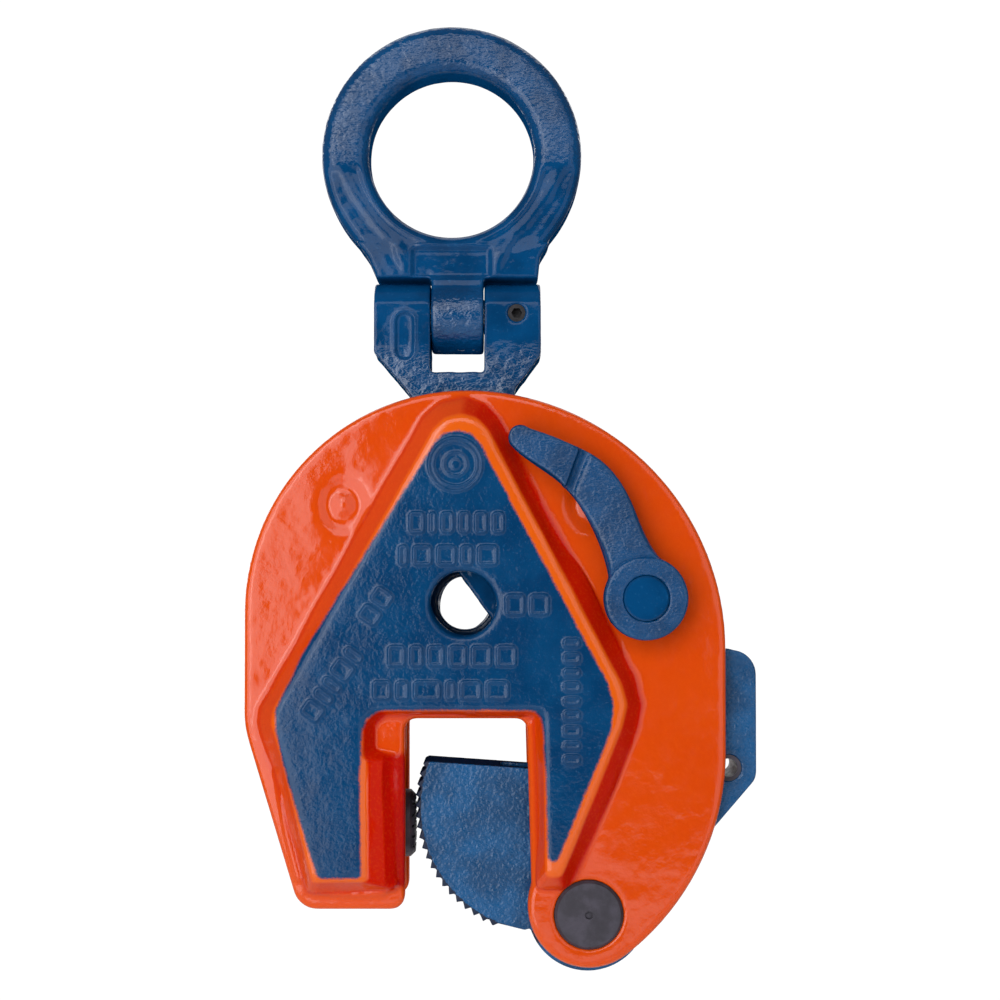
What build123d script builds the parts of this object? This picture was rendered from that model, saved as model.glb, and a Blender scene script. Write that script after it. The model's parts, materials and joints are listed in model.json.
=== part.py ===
from build123d import *
import math
import os

os.makedirs("parts", exist_ok=True)

# Vertical plate lifting clamp, millimetres.
# Origin: centre of the lifting eye. X to the right across the jaw, Z up, front face towards -Y.
# All profiles are drawn in the XZ plane and given thickness about the middle plane Y = 0,
# except those that turn about X, which are drawn in YZ.

# ---- Driving dimensions: lifting eye and hinge -------------------------------------------
EYE_BORE_R = 19.0
EYE_OUTER_R = 30.0
EYE_THICK = 12.0
EYE_EDGE_R = 3.0
HINGE_X = 1.4  # middle of the hinge
HINGE_Z = -37.0
TONGUE_WIDTH = 12.0
TONGUE_R = 8.6
HINGE_SLOT = 12.4
SHOULDER_Z = -28.7
SHOULDER_HALF = 18.6
SHOULDER_STEP = 0.2  # shoulder is this much thinner than the ring, each side
NECK_Z = -24.0
PIN_FIT = 0.06  # radial clearance of running pins

# ---- Shackle -----------------------------------------------------------------------------
CLEVIS_WIDTH = 38.3
CLEVIS_SLOT_DEPTH = 13.5
EAR_R = 7.6
SHACKLE_THICK = 14.4
HINGE_PIN_R = 4.0
LOCK_PIN_R = 2.0
LOCK_PIN_X = 15.0
LOCK_PIN_SINK = 0.8
LOCK_SOCKET_R = 1.25  # across corners of the hexagon socket, as a radius
LOCK_SOCKET_DEPTH = 2.4
FORK_GAP = 8.0  # gap in shackle foot and in cam that takes the link
FORK_R = 8.8  # clearance round the upper end of the link
EAR_RECESS_X = 7.15  # blank oblong recess, from the left side of the clevis
EAR_RECESS_Z = -42.3
EAR_RECESS_LENGTH = 10.8
EAR_RECESS_WIDTH = 4.2
EAR_RECESS_DEPTH = 0.5
DOG_NOTCH_R = 2.0  # notch in the shackle foot that the lock dog drops into
DOG_NOTCH_OUT = 0.6  # its centre lies this far beyond the foot's edge
DOG_NOTCH_RISE = 11.7  # and this far above the lever's axis

# ---- Housing -----------------------------------------------------------------------------
PLATE_GAP = 16.0
FLANGE_THICK = 5.0
PLATEAU_RISE = 4.0
POCKET_DEPTH = 3.0
RIM_R = 1.2
FACE_ROOT = 0.5  # the raised face's wall starts this deep in the flange
APEX_X = 2.3  # outlines of the raised face turn round its apex on arcs
FACE_APEX_Z = -68.4
FACE_APEX_R = 6.7
FOOT_APEX_Z = -66.6
FOOT_APEX_R = 10.6
APEX_ANGLES = (149.0, 118.6, 88.3, 57.9, 27.6)
TOP_X = 3.6
TOP_Z = -55.3
LEFT_ARC_R = 50.0
RIGHT_ARC_R = 58.4
LOWER_ARC_R = 57.5
LOWER_ARC_X = 4.5
LOWER_ARC_Z = -136.6
BOSS_R = 13.7
BOSS_ANGLE = 52.6  # where the lower arc runs into the boss, below the X direction
SLOT_LEFT_X = -10.2
SLOT_RIGHT_X = 17.2
SLOT_TOP_Z = -129.3
LEG_BOTTOM_Z = -172.0
SIGHT_X = 2.9
SIGHT_Z = -103.5
SIGHT_FRONT_R = 7.3
SIGHT_BACK_R = 6.3
STUD_R = 3.5
STUD_PLACES = [(-30.0, -90.0), (-28.0, -120.0)]
BAND_INSET = 0.6  # rim bands stand this far inside the outline
BAND_THICK = 4.0
LEFT_BAND_END = 122.0  # angle on the left top arc where the left band stops
RIGHT_BAND_START = 64.0
RIGHT_BAND_SPAN = 30.0
END_CHAMFER = 0.4

# ---- Cam ---------------------------------------------------------------------------------
CAM_X = 31.05
CAM_Z = -173.1
CAM_THICK = 15.0
CAM_HUB_R = 13.6
CAM_PIN_R = 6.0
CAM_HEAD_R = 7.7
CAM_HEAD_RISE = 0.5
CAM_HEAD_CHAMFER = 0.6
CAM_HEAD_FIT = 0.05
CAM_HEAD_DIMPLE_R = 0.9
CAM_HEAD_DIMPLE = 0.8
CAM_CAP_GRIP = 3.0  # depth of the pin's end in the cap
CAM_CAP_SOCKET_R = 2.9
CAM_CAP_SOCKET = 1.8
CAM_WASHER_R = 12.0
CAM_WASHER_GAP = 0.1
LUG_CORNER_R = 5.5
LUG_BEND_R = 4.0
BUSH_R = 7.6
TOOTH_X = 21.42  # centre of the toothed arc
TOOTH_Z = -149.6
TOOTH_R = 29.5
TOOTH_DEPTH = 1.0
TOOTH_COUNT = 19
TOOTH_START = 160.5
TOOTH_PITCH = 4.76
TOOTH_ROOT_SHARE = 0.35  # share of the pitch from a tooth tip to the root after it
TAIL_PIN_R = 3.0
TAIL_PIN_X = 63.0
TAIL_PIN_Z = -140.8
TAIL_PIN_WALL = 0.9

# ---- Link: shackle foot to cam -----------------------------------------------------------
FOOT_X = 27.0
FOOT_Z = -100.0
FOOT_R = 8.0
CAM_SLOT_R = 7.8  # clearance round the lower end of the link
CRANK_R = 14.5  # cam pivot to lower link pin
CRANK_ANGLE = 36.0
LINK_LENGTH = 66.48
LINK_ANGLE = 14.23  # from vertical, lower end to the right
LINK_BOW = 12.5
LINK_WIDTH = 10.4
LINK_THICK = 7.2
LINK_PIN_UP_R = 4.0
LINK_PIN_LOW_R = 3.5
LINK_HOLE_LOW_R = 4.25  # open pivot of the closed linkage
LINK_EYE_UP_R = 7.4
LINK_EYE_LOW_R = 6.8

# ---- Jaw pad -----------------------------------------------------------------------------
PAD_Z = -154.1
PAD_R = 7.7
PAD_FACE_X = -8.25
PAD_BACK_X = -12.3
PAD_SHANK_R = 4.5
PAD_SHANK_END_X = -29.0
PAD_GROOVE_X = -23.0
PAD_GROOVE_R = 3.0
PAD_GROOVE_WIDTH = 3.3
PAD_PIN_R = 1.5
PAD_PIN_WALL = 0.6
PAD_CHAMFER = 1.1
PAD_GAP = 0.3  # between pad and jaw block
PAD_SERRATION = 0.6
PAD_SERRATION_PITCH = 2.4
PAD_SERRATIONS = 5
RING_OUTER_R = 6.2
RING_WIDTH = 1.8
RING_SECTION_R = 0.5

# ---- Lever -------------------------------------------------------------------------------
LEVER_X = 43.5
LEVER_Z = -102.3
LEVER_HUB_R = 9.3
LEVER_SHAFT_R = 5.0
LEVER_BACK_Y = 14.6  # distance of the hub's back face in front of the middle plane
LEVER_HUB_FRONT_Y = 20.4
LEVER_ARM_THICK = 4.6
LEVER_TAB_THICK = 6.4
LEVER_BUSH_R = 6.8
LEVER_PIN_R = 1.25
LEVER_PIN_Y = 17.6
LEVER_TIP = (13.0, -66.6)
LEVER_SHAFT_RISE = 0.4
LEVER_BUSH_COLLAR = 0.7
LEVER_WASHER_THICK = 0.7
LEVER_WASHER_SINK = 1.2  # washer is this much smaller than the hub, as a radius
DOG_INNER_Y = 4.3
DOG_THICK = 3.0
DOG_HUB_R = 6.2
DOG_NOSE_X = 6.1
DOG_NOSE_LENGTH = 3.6
DOG_NOSE_WIDTH = 5.0
DOG_NOSE_R = 0.9

# ---- Spring ------------------------------------------------------------------------------
POST_X = 50.0
POST_Z = -91.0
POST_R = 3.0
POST_GROOVE = 6.0
POST_GROOVE_DEPTH = 0.7
SPRING_OUTER_R = 3.7
SPRING_WIRE_R = 0.65
SPRING_HOOK = 6.0  # from the pin to the first coil

# Edges of the lever arm: outer from the tip to the hub, inner from the hub to the tip.
LEVER_OUTER_EDGE = [(17.5, -64.6), (25.2, -67.4), (33.8, -71.8), (40.2, -80.6), (44.0, -89.4), (50.5, -96.5)]
LEVER_INNER_EDGE = [(35.4, -97.6), (34.5, -93.8), (30.9, -85.0), (24.6, -76.6), (17.7, -71.6), (14.1, -68.6)]
# Ends of the line across the arm where the thicker thumb tab stops.
TAB_OUTER_END = (28.8, -69.1)
TAB_INNER_END = (25.6, -77.8)

FLANGE_Y = PLATE_GAP / 2 + FLANGE_THICK
PLATEAU_Y = FLANGE_Y + PLATEAU_RISE
CRANK_X = CAM_X + CRANK_R * math.cos(math.radians(CRANK_ANGLE))
CRANK_Z = CAM_Z + CRANK_R * math.sin(math.radians(CRANK_ANGLE))
LINK_END_X = FOOT_X + LINK_LENGTH * math.sin(math.radians(LINK_ANGLE))
LINK_END_Z = FOOT_Z - LINK_LENGTH * math.cos(math.radians(LINK_ANGLE))
PAD_PIN_Z = PAD_Z + PAD_GROOVE_R + PAD_PIN_R + 0.2


def apex_arc(apex_z, radius):
    """Points round the apex of one outline of the raised face, from its left edge to its right edge."""
    points = []
    for angle in APEX_ANGLES:
        turn = math.radians(angle)
        points.append((APEX_X + radius * math.cos(turn), apex_z + radius * math.sin(turn)))
    return points


# Outline of the raised face of each housing plate and of the foot of its sloping wall, point for point.
FACE_OUTLINE = apex_arc(FACE_APEX_Z, FACE_APEX_R) + [
    (37.6, -121.4), (38.9, -126.0), (37.8, -130.6), (24.5, -163.6), (21.4, -163.6), (20.9, -127.4),
    (-16.6, -127.4), (-19.6, -130.4), (-19.6, -136.2), (-19.6, -138.2), (-19.4, -165.0), (-30.4, -165.0),
    (-39.2, -130.0), (-38.7, -126.8),
]
FOOT_OUTLINE = apex_arc(FOOT_APEX_Z, FOOT_APEX_R) + [
    (42.3, -119.8), (43.9, -126.0), (42.6, -132.0), (27.2, -168.0), (19.6, -167.6), (18.0, -128.8),
    (-14.6, -128.8), (-16.8, -131.0), (-16.8, -136.4), (-10.9, -138.0), (-10.9, -167.8), (-32.6, -168.6),
    (-43.9, -130.6), (-43.4, -126.6),
]
# Cheeks of the cam behind the toothed part, from below the hub round the tail lug.
LUG_X = 69.4
LUG_Z = -143.2
CAM_CHEEK = [(41.9, -181.3), (58.2, -156.2), (LUG_X, LUG_Z), (LUG_X, -114.1), (57.0, -114.1),
             (55.6, -136.0), (49.0, -150.0), (36.0, -153.0)]
# Gap between the cheeks: the space that the link sweeps, and the inside of the tail.
CAM_SLOT = [(9.0, -136.0), (12.0, -142.2), (18.0, -145.6), (24.0, -150.2), (29.5, -156.6), (35.1, -163.0),
            (48.5, -168.0), (67.0, -142.5), (75.0, -130.0), (75.0, -105.0), (30.0, -105.0)]
POCKET_OUTLINE = [
    (0.5, -66.5), (5.2, -66.5), (34.5, -122.0), (34.0, -124.5), (-22.0, -124.5), (-23.5, -133.0),
    (-35.5, -128.0),
]


def plate_outline():
    """One housing plate seen from the front: two top arcs, the boss arc, the slot and the leg."""
    left_z = TOP_Z - LEFT_ARC_R
    right_z = TOP_Z - RIGHT_ARC_R
    right_x = TOP_X + RIGHT_ARC_R
    boss_reach = LOWER_ARC_R - BOSS_R
    boss_x = LOWER_ARC_X + boss_reach * math.cos(math.radians(BOSS_ANGLE))
    boss_z = LOWER_ARC_Z - boss_reach * math.sin(math.radians(BOSS_ANGLE))
    with BuildSketch(Plane.XZ) as outline:
        with BuildLine():
            CenterArc((TOP_X, left_z), LEFT_ARC_R, 180, -90)
            CenterArc((TOP_X, right_z), RIGHT_ARC_R, 90, -90)
            Line((right_x, right_z), (LOWER_ARC_X + LOWER_ARC_R, LOWER_ARC_Z))
            CenterArc((LOWER_ARC_X, LOWER_ARC_Z), LOWER_ARC_R, 0, -BOSS_ANGLE)
            boss = CenterArc((boss_x, boss_z), BOSS_R, -BOSS_ANGLE, BOSS_ANGLE - 200)
            FilletPolyline(
                boss @ 1,
                (SLOT_RIGHT_X, SLOT_TOP_Z),
                (SLOT_LEFT_X, SLOT_TOP_Z),
                (SLOT_LEFT_X, LEG_BOTTOM_Z),
                (-33.9, LEG_BOTTOM_Z),
                (-46.4, -131.0),
                (TOP_X - LEFT_ARC_R, left_z),
                radius=(2.5, 2.5, 3.0, 5.5, 25.0),
            )
        make_face()
    return outline.sketch


def raised_face():
    """Solid between the foot of the sloping wall, just inside the flange, and the raised flat face."""
    foot = [Vector(x, FACE_ROOT - FLANGE_Y, z) for x, z in FOOT_OUTLINE]
    face = [Vector(x, -PLATEAU_Y, z) for x, z in FACE_OUTLINE]
    walls = []
    for i in range(len(foot)):
        j = (i + 1) % len(foot)
        walls.append(Face(Wire.make_polygon([foot[i], foot[j], face[j]])))
        walls.append(Face(Wire.make_polygon([foot[i], face[j], face[i]])))
    ends = [Face(Wire.make_polygon(foot)), Face(Wire.make_polygon(face))]
    return Solid(Shell(walls + ends))


def housing_plate():
    """Forged half: flat flange, raised face with sloping wall, inner pocket, holes for pin and lever."""
    outline = plate_outline()
    with BuildPart() as plate:
        with BuildSketch(Plane.XZ.offset(PLATE_GAP / 2)):
            add(outline)
        extrude(amount=FLANGE_THICK)
        rim = plate.faces().sort_by(Axis.Y)[0].outer_wire().edges()
        fillet(rim, radius=RIM_R)
        add(raised_face())
        with BuildSketch(Plane.XZ.offset(PLATE_GAP / 2)):
            Polygon(*POCKET_OUTLINE, align=None)
        extrude(amount=POCKET_DEPTH, mode=Mode.SUBTRACT)
    return plate.part


# ---- Housing halves ----------------------------------------------------------------------
plate_half = housing_plate()

with BuildPart() as front_plate:
    add(plate_half)
    with BuildSketch(Plane.XZ):
        with Locations((SIGHT_X, SIGHT_Z)):
            Circle(SIGHT_FRONT_R)
        with Locations((CAM_X, CAM_Z)):
            Circle(CAM_HEAD_R + CAM_HEAD_FIT)
        with Locations((LEVER_X, LEVER_Z)):
            Circle(LEVER_BUSH_R)
    extrude(amount=PLATEAU_Y + 1, mode=Mode.SUBTRACT)
front_plate.part.label = "front_plate"
export_step(front_plate.part, "parts/front_plate.step")

with BuildPart() as back_plate:
    add(mirror(plate_half, about=Plane.XZ))
    with BuildSketch(Plane.XZ):
        with Locations((SIGHT_X, SIGHT_Z)):
            Circle(SIGHT_BACK_R)
        with Locations((CAM_X, CAM_Z)):
            Circle(CAM_HEAD_R + CAM_HEAD_FIT)
    extrude(amount=-PLATEAU_Y - 1, mode=Mode.SUBTRACT)
back_plate.part.label = "back_plate"
export_step(back_plate.part, "parts/back_plate.step")

# Strips that join the two halves along the rim, left and upper right.
left_arc_z = TOP_Z - LEFT_ARC_R
right_arc_z = TOP_Z - RIGHT_ARC_R
left_inner_r = LEFT_ARC_R - BAND_INSET - BAND_THICK
right_inner_r = RIGHT_ARC_R - BAND_INSET - BAND_THICK

with BuildPart() as rim_bands:
    with BuildSketch(Plane.XZ):
        with BuildLine():
            left_arc = CenterArc(
                (TOP_X, left_arc_z), LEFT_ARC_R - BAND_INSET, LEFT_BAND_END, 180 - LEFT_BAND_END
            )
            left_wall = FilletPolyline(left_arc @ 1, (-45.8, -131.0), (-38.5, -156.3), radius=25.0)
            inner_end = (-34.7, -155.2)
            Line(left_wall @ 1, inner_end)
            FilletPolyline(inner_end, (-41.8, -130.4), (TOP_X - left_inner_r, left_arc_z), radius=21.0)
            inner_arc = CenterArc((TOP_X, left_arc_z), left_inner_r, 180, LEFT_BAND_END - 180)
            Line(left_arc @ 0, inner_arc @ 1)
        make_face()
    with BuildSketch(Plane.XZ):
        with BuildLine():
            outer = CenterArc(
                (TOP_X, right_arc_z), RIGHT_ARC_R - BAND_INSET, RIGHT_BAND_START, -RIGHT_BAND_SPAN
            )
            inner = CenterArc(
                (TOP_X, right_arc_z), right_inner_r, RIGHT_BAND_START - RIGHT_BAND_SPAN, RIGHT_BAND_SPAN
            )
            Line(outer @ 1, inner @ 0)
            Line(inner @ 1, outer @ 0)
        make_face()
    extrude(amount=PLATE_GAP / 2, both=True)
rim_bands.part.label = "rim_bands"
export_step(rim_bands.part, "parts/rim_bands.step")

# Studs that hold the halves apart, and the post that the spring hangs on.
with BuildPart() as spacer_studs:
    with BuildSketch(Plane.XZ):
        with Locations(*STUD_PLACES):
            Circle(STUD_R)
    extrude(amount=PLATE_GAP / 2, both=True)
    chamfer(spacer_studs.edges().filter_by(GeomType.CIRCLE), length=END_CHAMFER)
spacer_studs.part.label = "spacer_studs"
export_step(spacer_studs.part, "parts/spacer_studs.step")

with BuildPart() as spring_post:
    with BuildSketch(Plane.XZ):
        with Locations((POST_X, POST_Z)):
            Circle(POST_R)
    extrude(amount=PLATE_GAP / 2, both=True)
    with BuildSketch(Plane.XZ):
        with Locations((POST_X, POST_Z)):
            Circle(POST_R)
            Circle(POST_R - POST_GROOVE_DEPTH, mode=Mode.SUBTRACT)
    extrude(amount=POST_GROOVE / 2, both=True, mode=Mode.SUBTRACT)
spring_post.part.label = "spring_post"
export_step(spring_post.part, "parts/spring_post.step")

# ---- Fixed jaw: block in the leg, pad, its retaining pin and O-ring ------------------------
with BuildPart() as jaw_block:
    with BuildSketch(Plane.XZ):
        Polygon((PAD_BACK_X - PAD_GAP, -138.0), (-26.0, -138.0), (-37.2, -143.0), (-34.2, -154.6),
                (-36.5, -157.5), (-33.8, -166.5), (-30.5, -170.5), (-14.0, -170.5),
                (PAD_BACK_X - PAD_GAP, -168.0), align=None)
    extrude(amount=PLATE_GAP / 2, both=True)
    with BuildSketch(Plane.YZ.offset(PAD_SHANK_END_X - PAD_GAP)):
        with Locations((0, PAD_Z)):
            Circle(PAD_SHANK_R + PIN_FIT)
    extrude(amount=PAD_BACK_X - PAD_SHANK_END_X + PAD_GAP, mode=Mode.SUBTRACT)
    with BuildSketch(Plane.YZ.offset(PAD_BACK_X - PAD_GAP)):
        with Locations((0, PAD_Z)):
            Circle(RING_OUTER_R)
    extrude(amount=-RING_WIDTH, mode=Mode.SUBTRACT)
    with BuildSketch(Plane.XZ):
        with Locations((PAD_GROOVE_X, PAD_PIN_Z)):
            Circle(PAD_PIN_R)
    extrude(amount=PLATE_GAP / 2, both=True, mode=Mode.SUBTRACT)
jaw_block.part.label = "jaw_block"
export_step(jaw_block.part, "parts/jaw_block.step")

with BuildPart() as jaw_pad:
    with BuildSketch(Plane.YZ.offset(PAD_BACK_X)):
        with Locations((0, PAD_Z)):
            Circle(PAD_R)
    extrude(amount=PAD_FACE_X - PAD_BACK_X)
    chamfer(jaw_pad.edges().group_by(Axis.X)[-1], length=PAD_CHAMFER)
    with BuildSketch(Plane.YZ.offset(PAD_SHANK_END_X)):
        with Locations((0, PAD_Z)):
            Circle(PAD_SHANK_R)
    extrude(amount=PAD_BACK_X - PAD_SHANK_END_X)
    with BuildSketch(Plane.YZ.offset(PAD_GROOVE_X - PAD_GROOVE_WIDTH / 2)):
        with Locations((0, PAD_Z)):
            Circle(PAD_SHANK_R + PAD_GAP)
            Circle(PAD_GROOVE_R, mode=Mode.SUBTRACT)
    extrude(amount=PAD_GROOVE_WIDTH, mode=Mode.SUBTRACT)
    with BuildSketch(Plane.YZ.offset(PAD_FACE_X - PAD_SERRATION)):
        with GridLocations(PAD_SERRATION_PITCH, 0, PAD_SERRATIONS, 1):
            with Locations((0, PAD_Z)):
                Rectangle(PAD_SERRATION, 2 * PAD_R)
        with Locations((0, PAD_Z)):
            with GridLocations(0, PAD_SERRATION_PITCH, 1, PAD_SERRATIONS):
                Rectangle(2 * PAD_R, PAD_SERRATION)
    extrude(amount=PAD_SERRATION + 1, mode=Mode.SUBTRACT)
jaw_pad.part.label = "jaw_pad"
export_step(jaw_pad.part, "parts/jaw_pad.step")

with BuildPart() as pad_pin:
    with BuildSketch(Plane.XZ):
        with Locations((PAD_GROOVE_X, PAD_PIN_Z)):
            Circle(PAD_PIN_R)
            Circle(PAD_PIN_R - PAD_PIN_WALL, mode=Mode.SUBTRACT)
    extrude(amount=PLATE_GAP / 2, both=True)
pad_pin.part.label = "pad_pin"
export_step(pad_pin.part, "parts/pad_pin.step")

with BuildPart() as pad_ring:
    with BuildSketch(Plane.YZ.offset(PAD_BACK_X - PAD_GAP - PIN_FIT)):
        with Locations((0, PAD_Z)):
            Circle(RING_OUTER_R - PIN_FIT)
            Circle(PAD_SHANK_R + PIN_FIT, mode=Mode.SUBTRACT)
    extrude(amount=2 * PIN_FIT - RING_WIDTH)
    fillet(pad_ring.edges().filter_by(GeomType.CIRCLE), radius=RING_SECTION_R)
pad_ring.part.label = "pad_ring"
export_step(pad_ring.part, "parts/pad_ring.step")

# ---- Cam with its pin, cap, bushes and washers ---------------------------------------------
tooth_points = []
for tooth in range(TOOTH_COUNT):
    for turn, reach in ((0.0, TOOTH_R), (TOOTH_ROOT_SHARE, TOOTH_R - TOOTH_DEPTH)):
        angle = math.radians(TOOTH_START + (tooth + turn) * TOOTH_PITCH)
        tooth_points.append((TOOTH_X + reach * math.cos(angle), TOOTH_Z + reach * math.sin(angle)))

with BuildPart() as cam:
    with BuildSketch(Plane.XZ):
        Polygon(*tooth_points, (16.8, -177.5), (CAM_X, CAM_Z), *CAM_CHEEK, (22.0, -141.2), (-5.4, -139.3),
                align=None)
        with Locations((CAM_X, CAM_Z)):
            Circle(CAM_HUB_R)
    extrude(amount=CAM_THICK / 2, both=True)
    lug_corner = cam.edges().filter_by(Axis.Y).sort_by(Axis.Z)[-2:]
    fillet(lug_corner.sort_by(Axis.X)[-1], radius=LUG_CORNER_R)
    lug_bend = cam.edges().filter_by(Axis.Y).sort_by_distance((LUG_X, 0, LUG_Z))[0]
    fillet(lug_bend, radius=LUG_BEND_R)
    with BuildSketch(Plane.XZ):
        Polygon(*CAM_SLOT, align=None)
        with Locations((CRANK_X, CRANK_Z)):
            Circle(CAM_SLOT_R)
    extrude(amount=FORK_GAP / 2, both=True, mode=Mode.SUBTRACT)
    with BuildSketch(Plane.XZ):
        with Locations((CAM_X, CAM_Z)):
            Circle(BUSH_R)
        with Locations((CRANK_X, CRANK_Z)):
            Circle(LINK_PIN_LOW_R)
        with Locations((TAIL_PIN_X, TAIL_PIN_Z)):
            Circle(TAIL_PIN_R)
    extrude(amount=CAM_THICK, both=True, mode=Mode.SUBTRACT)
cam.part.label = "cam"
export_step(cam.part, "parts/cam.step")

with BuildPart() as cam_bushes:
    for side in (-1, 1):
        with BuildSketch(Plane.XZ.offset(side * FORK_GAP / 2)):
            with Locations((CAM_X, CAM_Z)):
                Circle(BUSH_R)
                Circle(CAM_PIN_R + PIN_FIT, mode=Mode.SUBTRACT)
        extrude(amount=side * (CAM_THICK - FORK_GAP) / 2)
cam_bushes.part.label = "cam_bushes"
export_step(cam_bushes.part, "parts/cam_bushes.step")

with BuildPart() as cam_washers:
    for side in (-1, 1):
        with BuildSketch(Plane.XZ.offset(side * (CAM_THICK / 2 + CAM_WASHER_GAP))):
            with Locations((CAM_X, CAM_Z)):
                Circle(CAM_WASHER_R)
                Circle(CAM_PIN_R + PIN_FIT, mode=Mode.SUBTRACT)
        extrude(amount=side * (PLATE_GAP / 2 - CAM_THICK / 2 - CAM_WASHER_GAP))
cam_washers.part.label = "cam_washers"
export_step(cam_washers.part, "parts/cam_washers.step")

with BuildPart() as cam_pin:
    with BuildSketch(Plane.XZ.offset(PLATE_GAP / 2)):
        with Locations((CAM_X, CAM_Z)):
            Circle(CAM_HEAD_R)
    extrude(amount=FLANGE_THICK + CAM_HEAD_RISE)
    chamfer(cam_pin.edges().group_by(Axis.Y)[0], length=CAM_HEAD_CHAMFER)
    with BuildSketch(Plane.XZ.offset(-PLATE_GAP / 2 - CAM_CAP_GRIP)):
        with Locations((CAM_X, CAM_Z)):
            Circle(CAM_PIN_R)
    extrude(amount=PLATE_GAP + CAM_CAP_GRIP)
    with BuildSketch(Plane.XZ.offset(FLANGE_Y + CAM_HEAD_RISE)):
        with Locations((CAM_X, CAM_Z)):
            Circle(CAM_HEAD_DIMPLE_R)
    extrude(amount=-CAM_HEAD_DIMPLE, mode=Mode.SUBTRACT)
cam_pin.part.label = "cam_pin"
export_step(cam_pin.part, "parts/cam_pin.step")

with BuildPart() as cam_pin_cap:
    with BuildSketch(Plane.XZ.offset(-PLATE_GAP / 2)):
        with Locations((CAM_X, CAM_Z)):
            Circle(CAM_HEAD_R)
    extrude(amount=-FLANGE_THICK - CAM_HEAD_RISE)
    chamfer(cam_pin_cap.edges().group_by(Axis.Y)[-1], length=CAM_HEAD_CHAMFER)
    with BuildSketch(Plane.XZ.offset(-PLATE_GAP / 2)):
        with Locations((CAM_X, CAM_Z)):
            Circle(CAM_PIN_R)
    extrude(amount=-CAM_CAP_GRIP, mode=Mode.SUBTRACT)
    with BuildSketch(Plane.XZ.offset(-FLANGE_Y - CAM_HEAD_RISE)):
        with Locations((CAM_X, CAM_Z)):
            RegularPolygon(radius=CAM_CAP_SOCKET_R, side_count=6)
    extrude(amount=CAM_CAP_SOCKET, mode=Mode.SUBTRACT)
cam_pin_cap.part.label = "cam_pin_cap"
export_step(cam_pin_cap.part, "parts/cam_pin_cap.step")

with BuildPart() as tail_pin:
    with BuildSketch(Plane.XZ):
        with Locations((TAIL_PIN_X, TAIL_PIN_Z)):
            Circle(TAIL_PIN_R)
            Circle(TAIL_PIN_R - TAIL_PIN_WALL, mode=Mode.SUBTRACT)
    extrude(amount=CAM_THICK / 2, both=True)
tail_pin.part.label = "tail_pin"
export_step(tail_pin.part, "parts/tail_pin.step")

# ---- Link and its pins ---------------------------------------------------------------------
link_run = Vector(LINK_END_X - FOOT_X, LINK_END_Z - FOOT_Z)
link_middle = Vector(FOOT_X, FOOT_Z) + link_run * 0.5
link_normal = Vector(-link_run.Y, link_run.X).normalized()
link_crown = link_middle + link_normal * LINK_BOW

with BuildPart() as link:
    with BuildSketch(Plane.XZ):
        with BuildLine(mode=Mode.PRIVATE) as link_line:
            ThreePointArc((FOOT_X, FOOT_Z), link_crown, (LINK_END_X, LINK_END_Z))
        SlotArc(link_line.line.edge(), LINK_WIDTH)
        with Locations((FOOT_X, FOOT_Z)):
            Circle(LINK_EYE_UP_R)
        with Locations((LINK_END_X, LINK_END_Z)):
            Circle(LINK_EYE_LOW_R)
    extrude(amount=LINK_THICK / 2, both=True)
    with BuildSketch(Plane.XZ):
        with Locations((FOOT_X, FOOT_Z)):
            Circle(LINK_PIN_UP_R + PIN_FIT)
        with Locations((LINK_END_X, LINK_END_Z)):
            Circle(LINK_HOLE_LOW_R)
    extrude(amount=LINK_THICK, both=True, mode=Mode.SUBTRACT)
link.part.label = "link"
export_step(link.part, "parts/link.step")

with BuildPart() as link_pin_upper:
    with BuildSketch(Plane.XZ):
        with Locations((FOOT_X, FOOT_Z)):
            Circle(LINK_PIN_UP_R)
    extrude(amount=SHACKLE_THICK / 2, both=True)
    chamfer(link_pin_upper.edges().filter_by(GeomType.CIRCLE), length=END_CHAMFER)
link_pin_upper.part.label = "link_pin_upper"
export_step(link_pin_upper.part, "parts/link_pin_upper.step")

with BuildPart() as link_pin_lower:
    with BuildSketch(Plane.XZ):
        with Locations((CRANK_X, CRANK_Z)):
            Circle(LINK_PIN_LOW_R)
    extrude(amount=CAM_THICK / 2, both=True)
    chamfer(link_pin_lower.edges().filter_by(GeomType.CIRCLE), length=END_CHAMFER)
link_pin_lower.part.label = "link_pin_lower"
export_step(link_pin_lower.part, "parts/link_pin_lower.step")

# ---- Shackle -------------------------------------------------------------------------------
clevis_left = HINGE_X - CLEVIS_WIDTH / 2
clevis_right = HINGE_X + CLEVIS_WIDTH / 2

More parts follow.
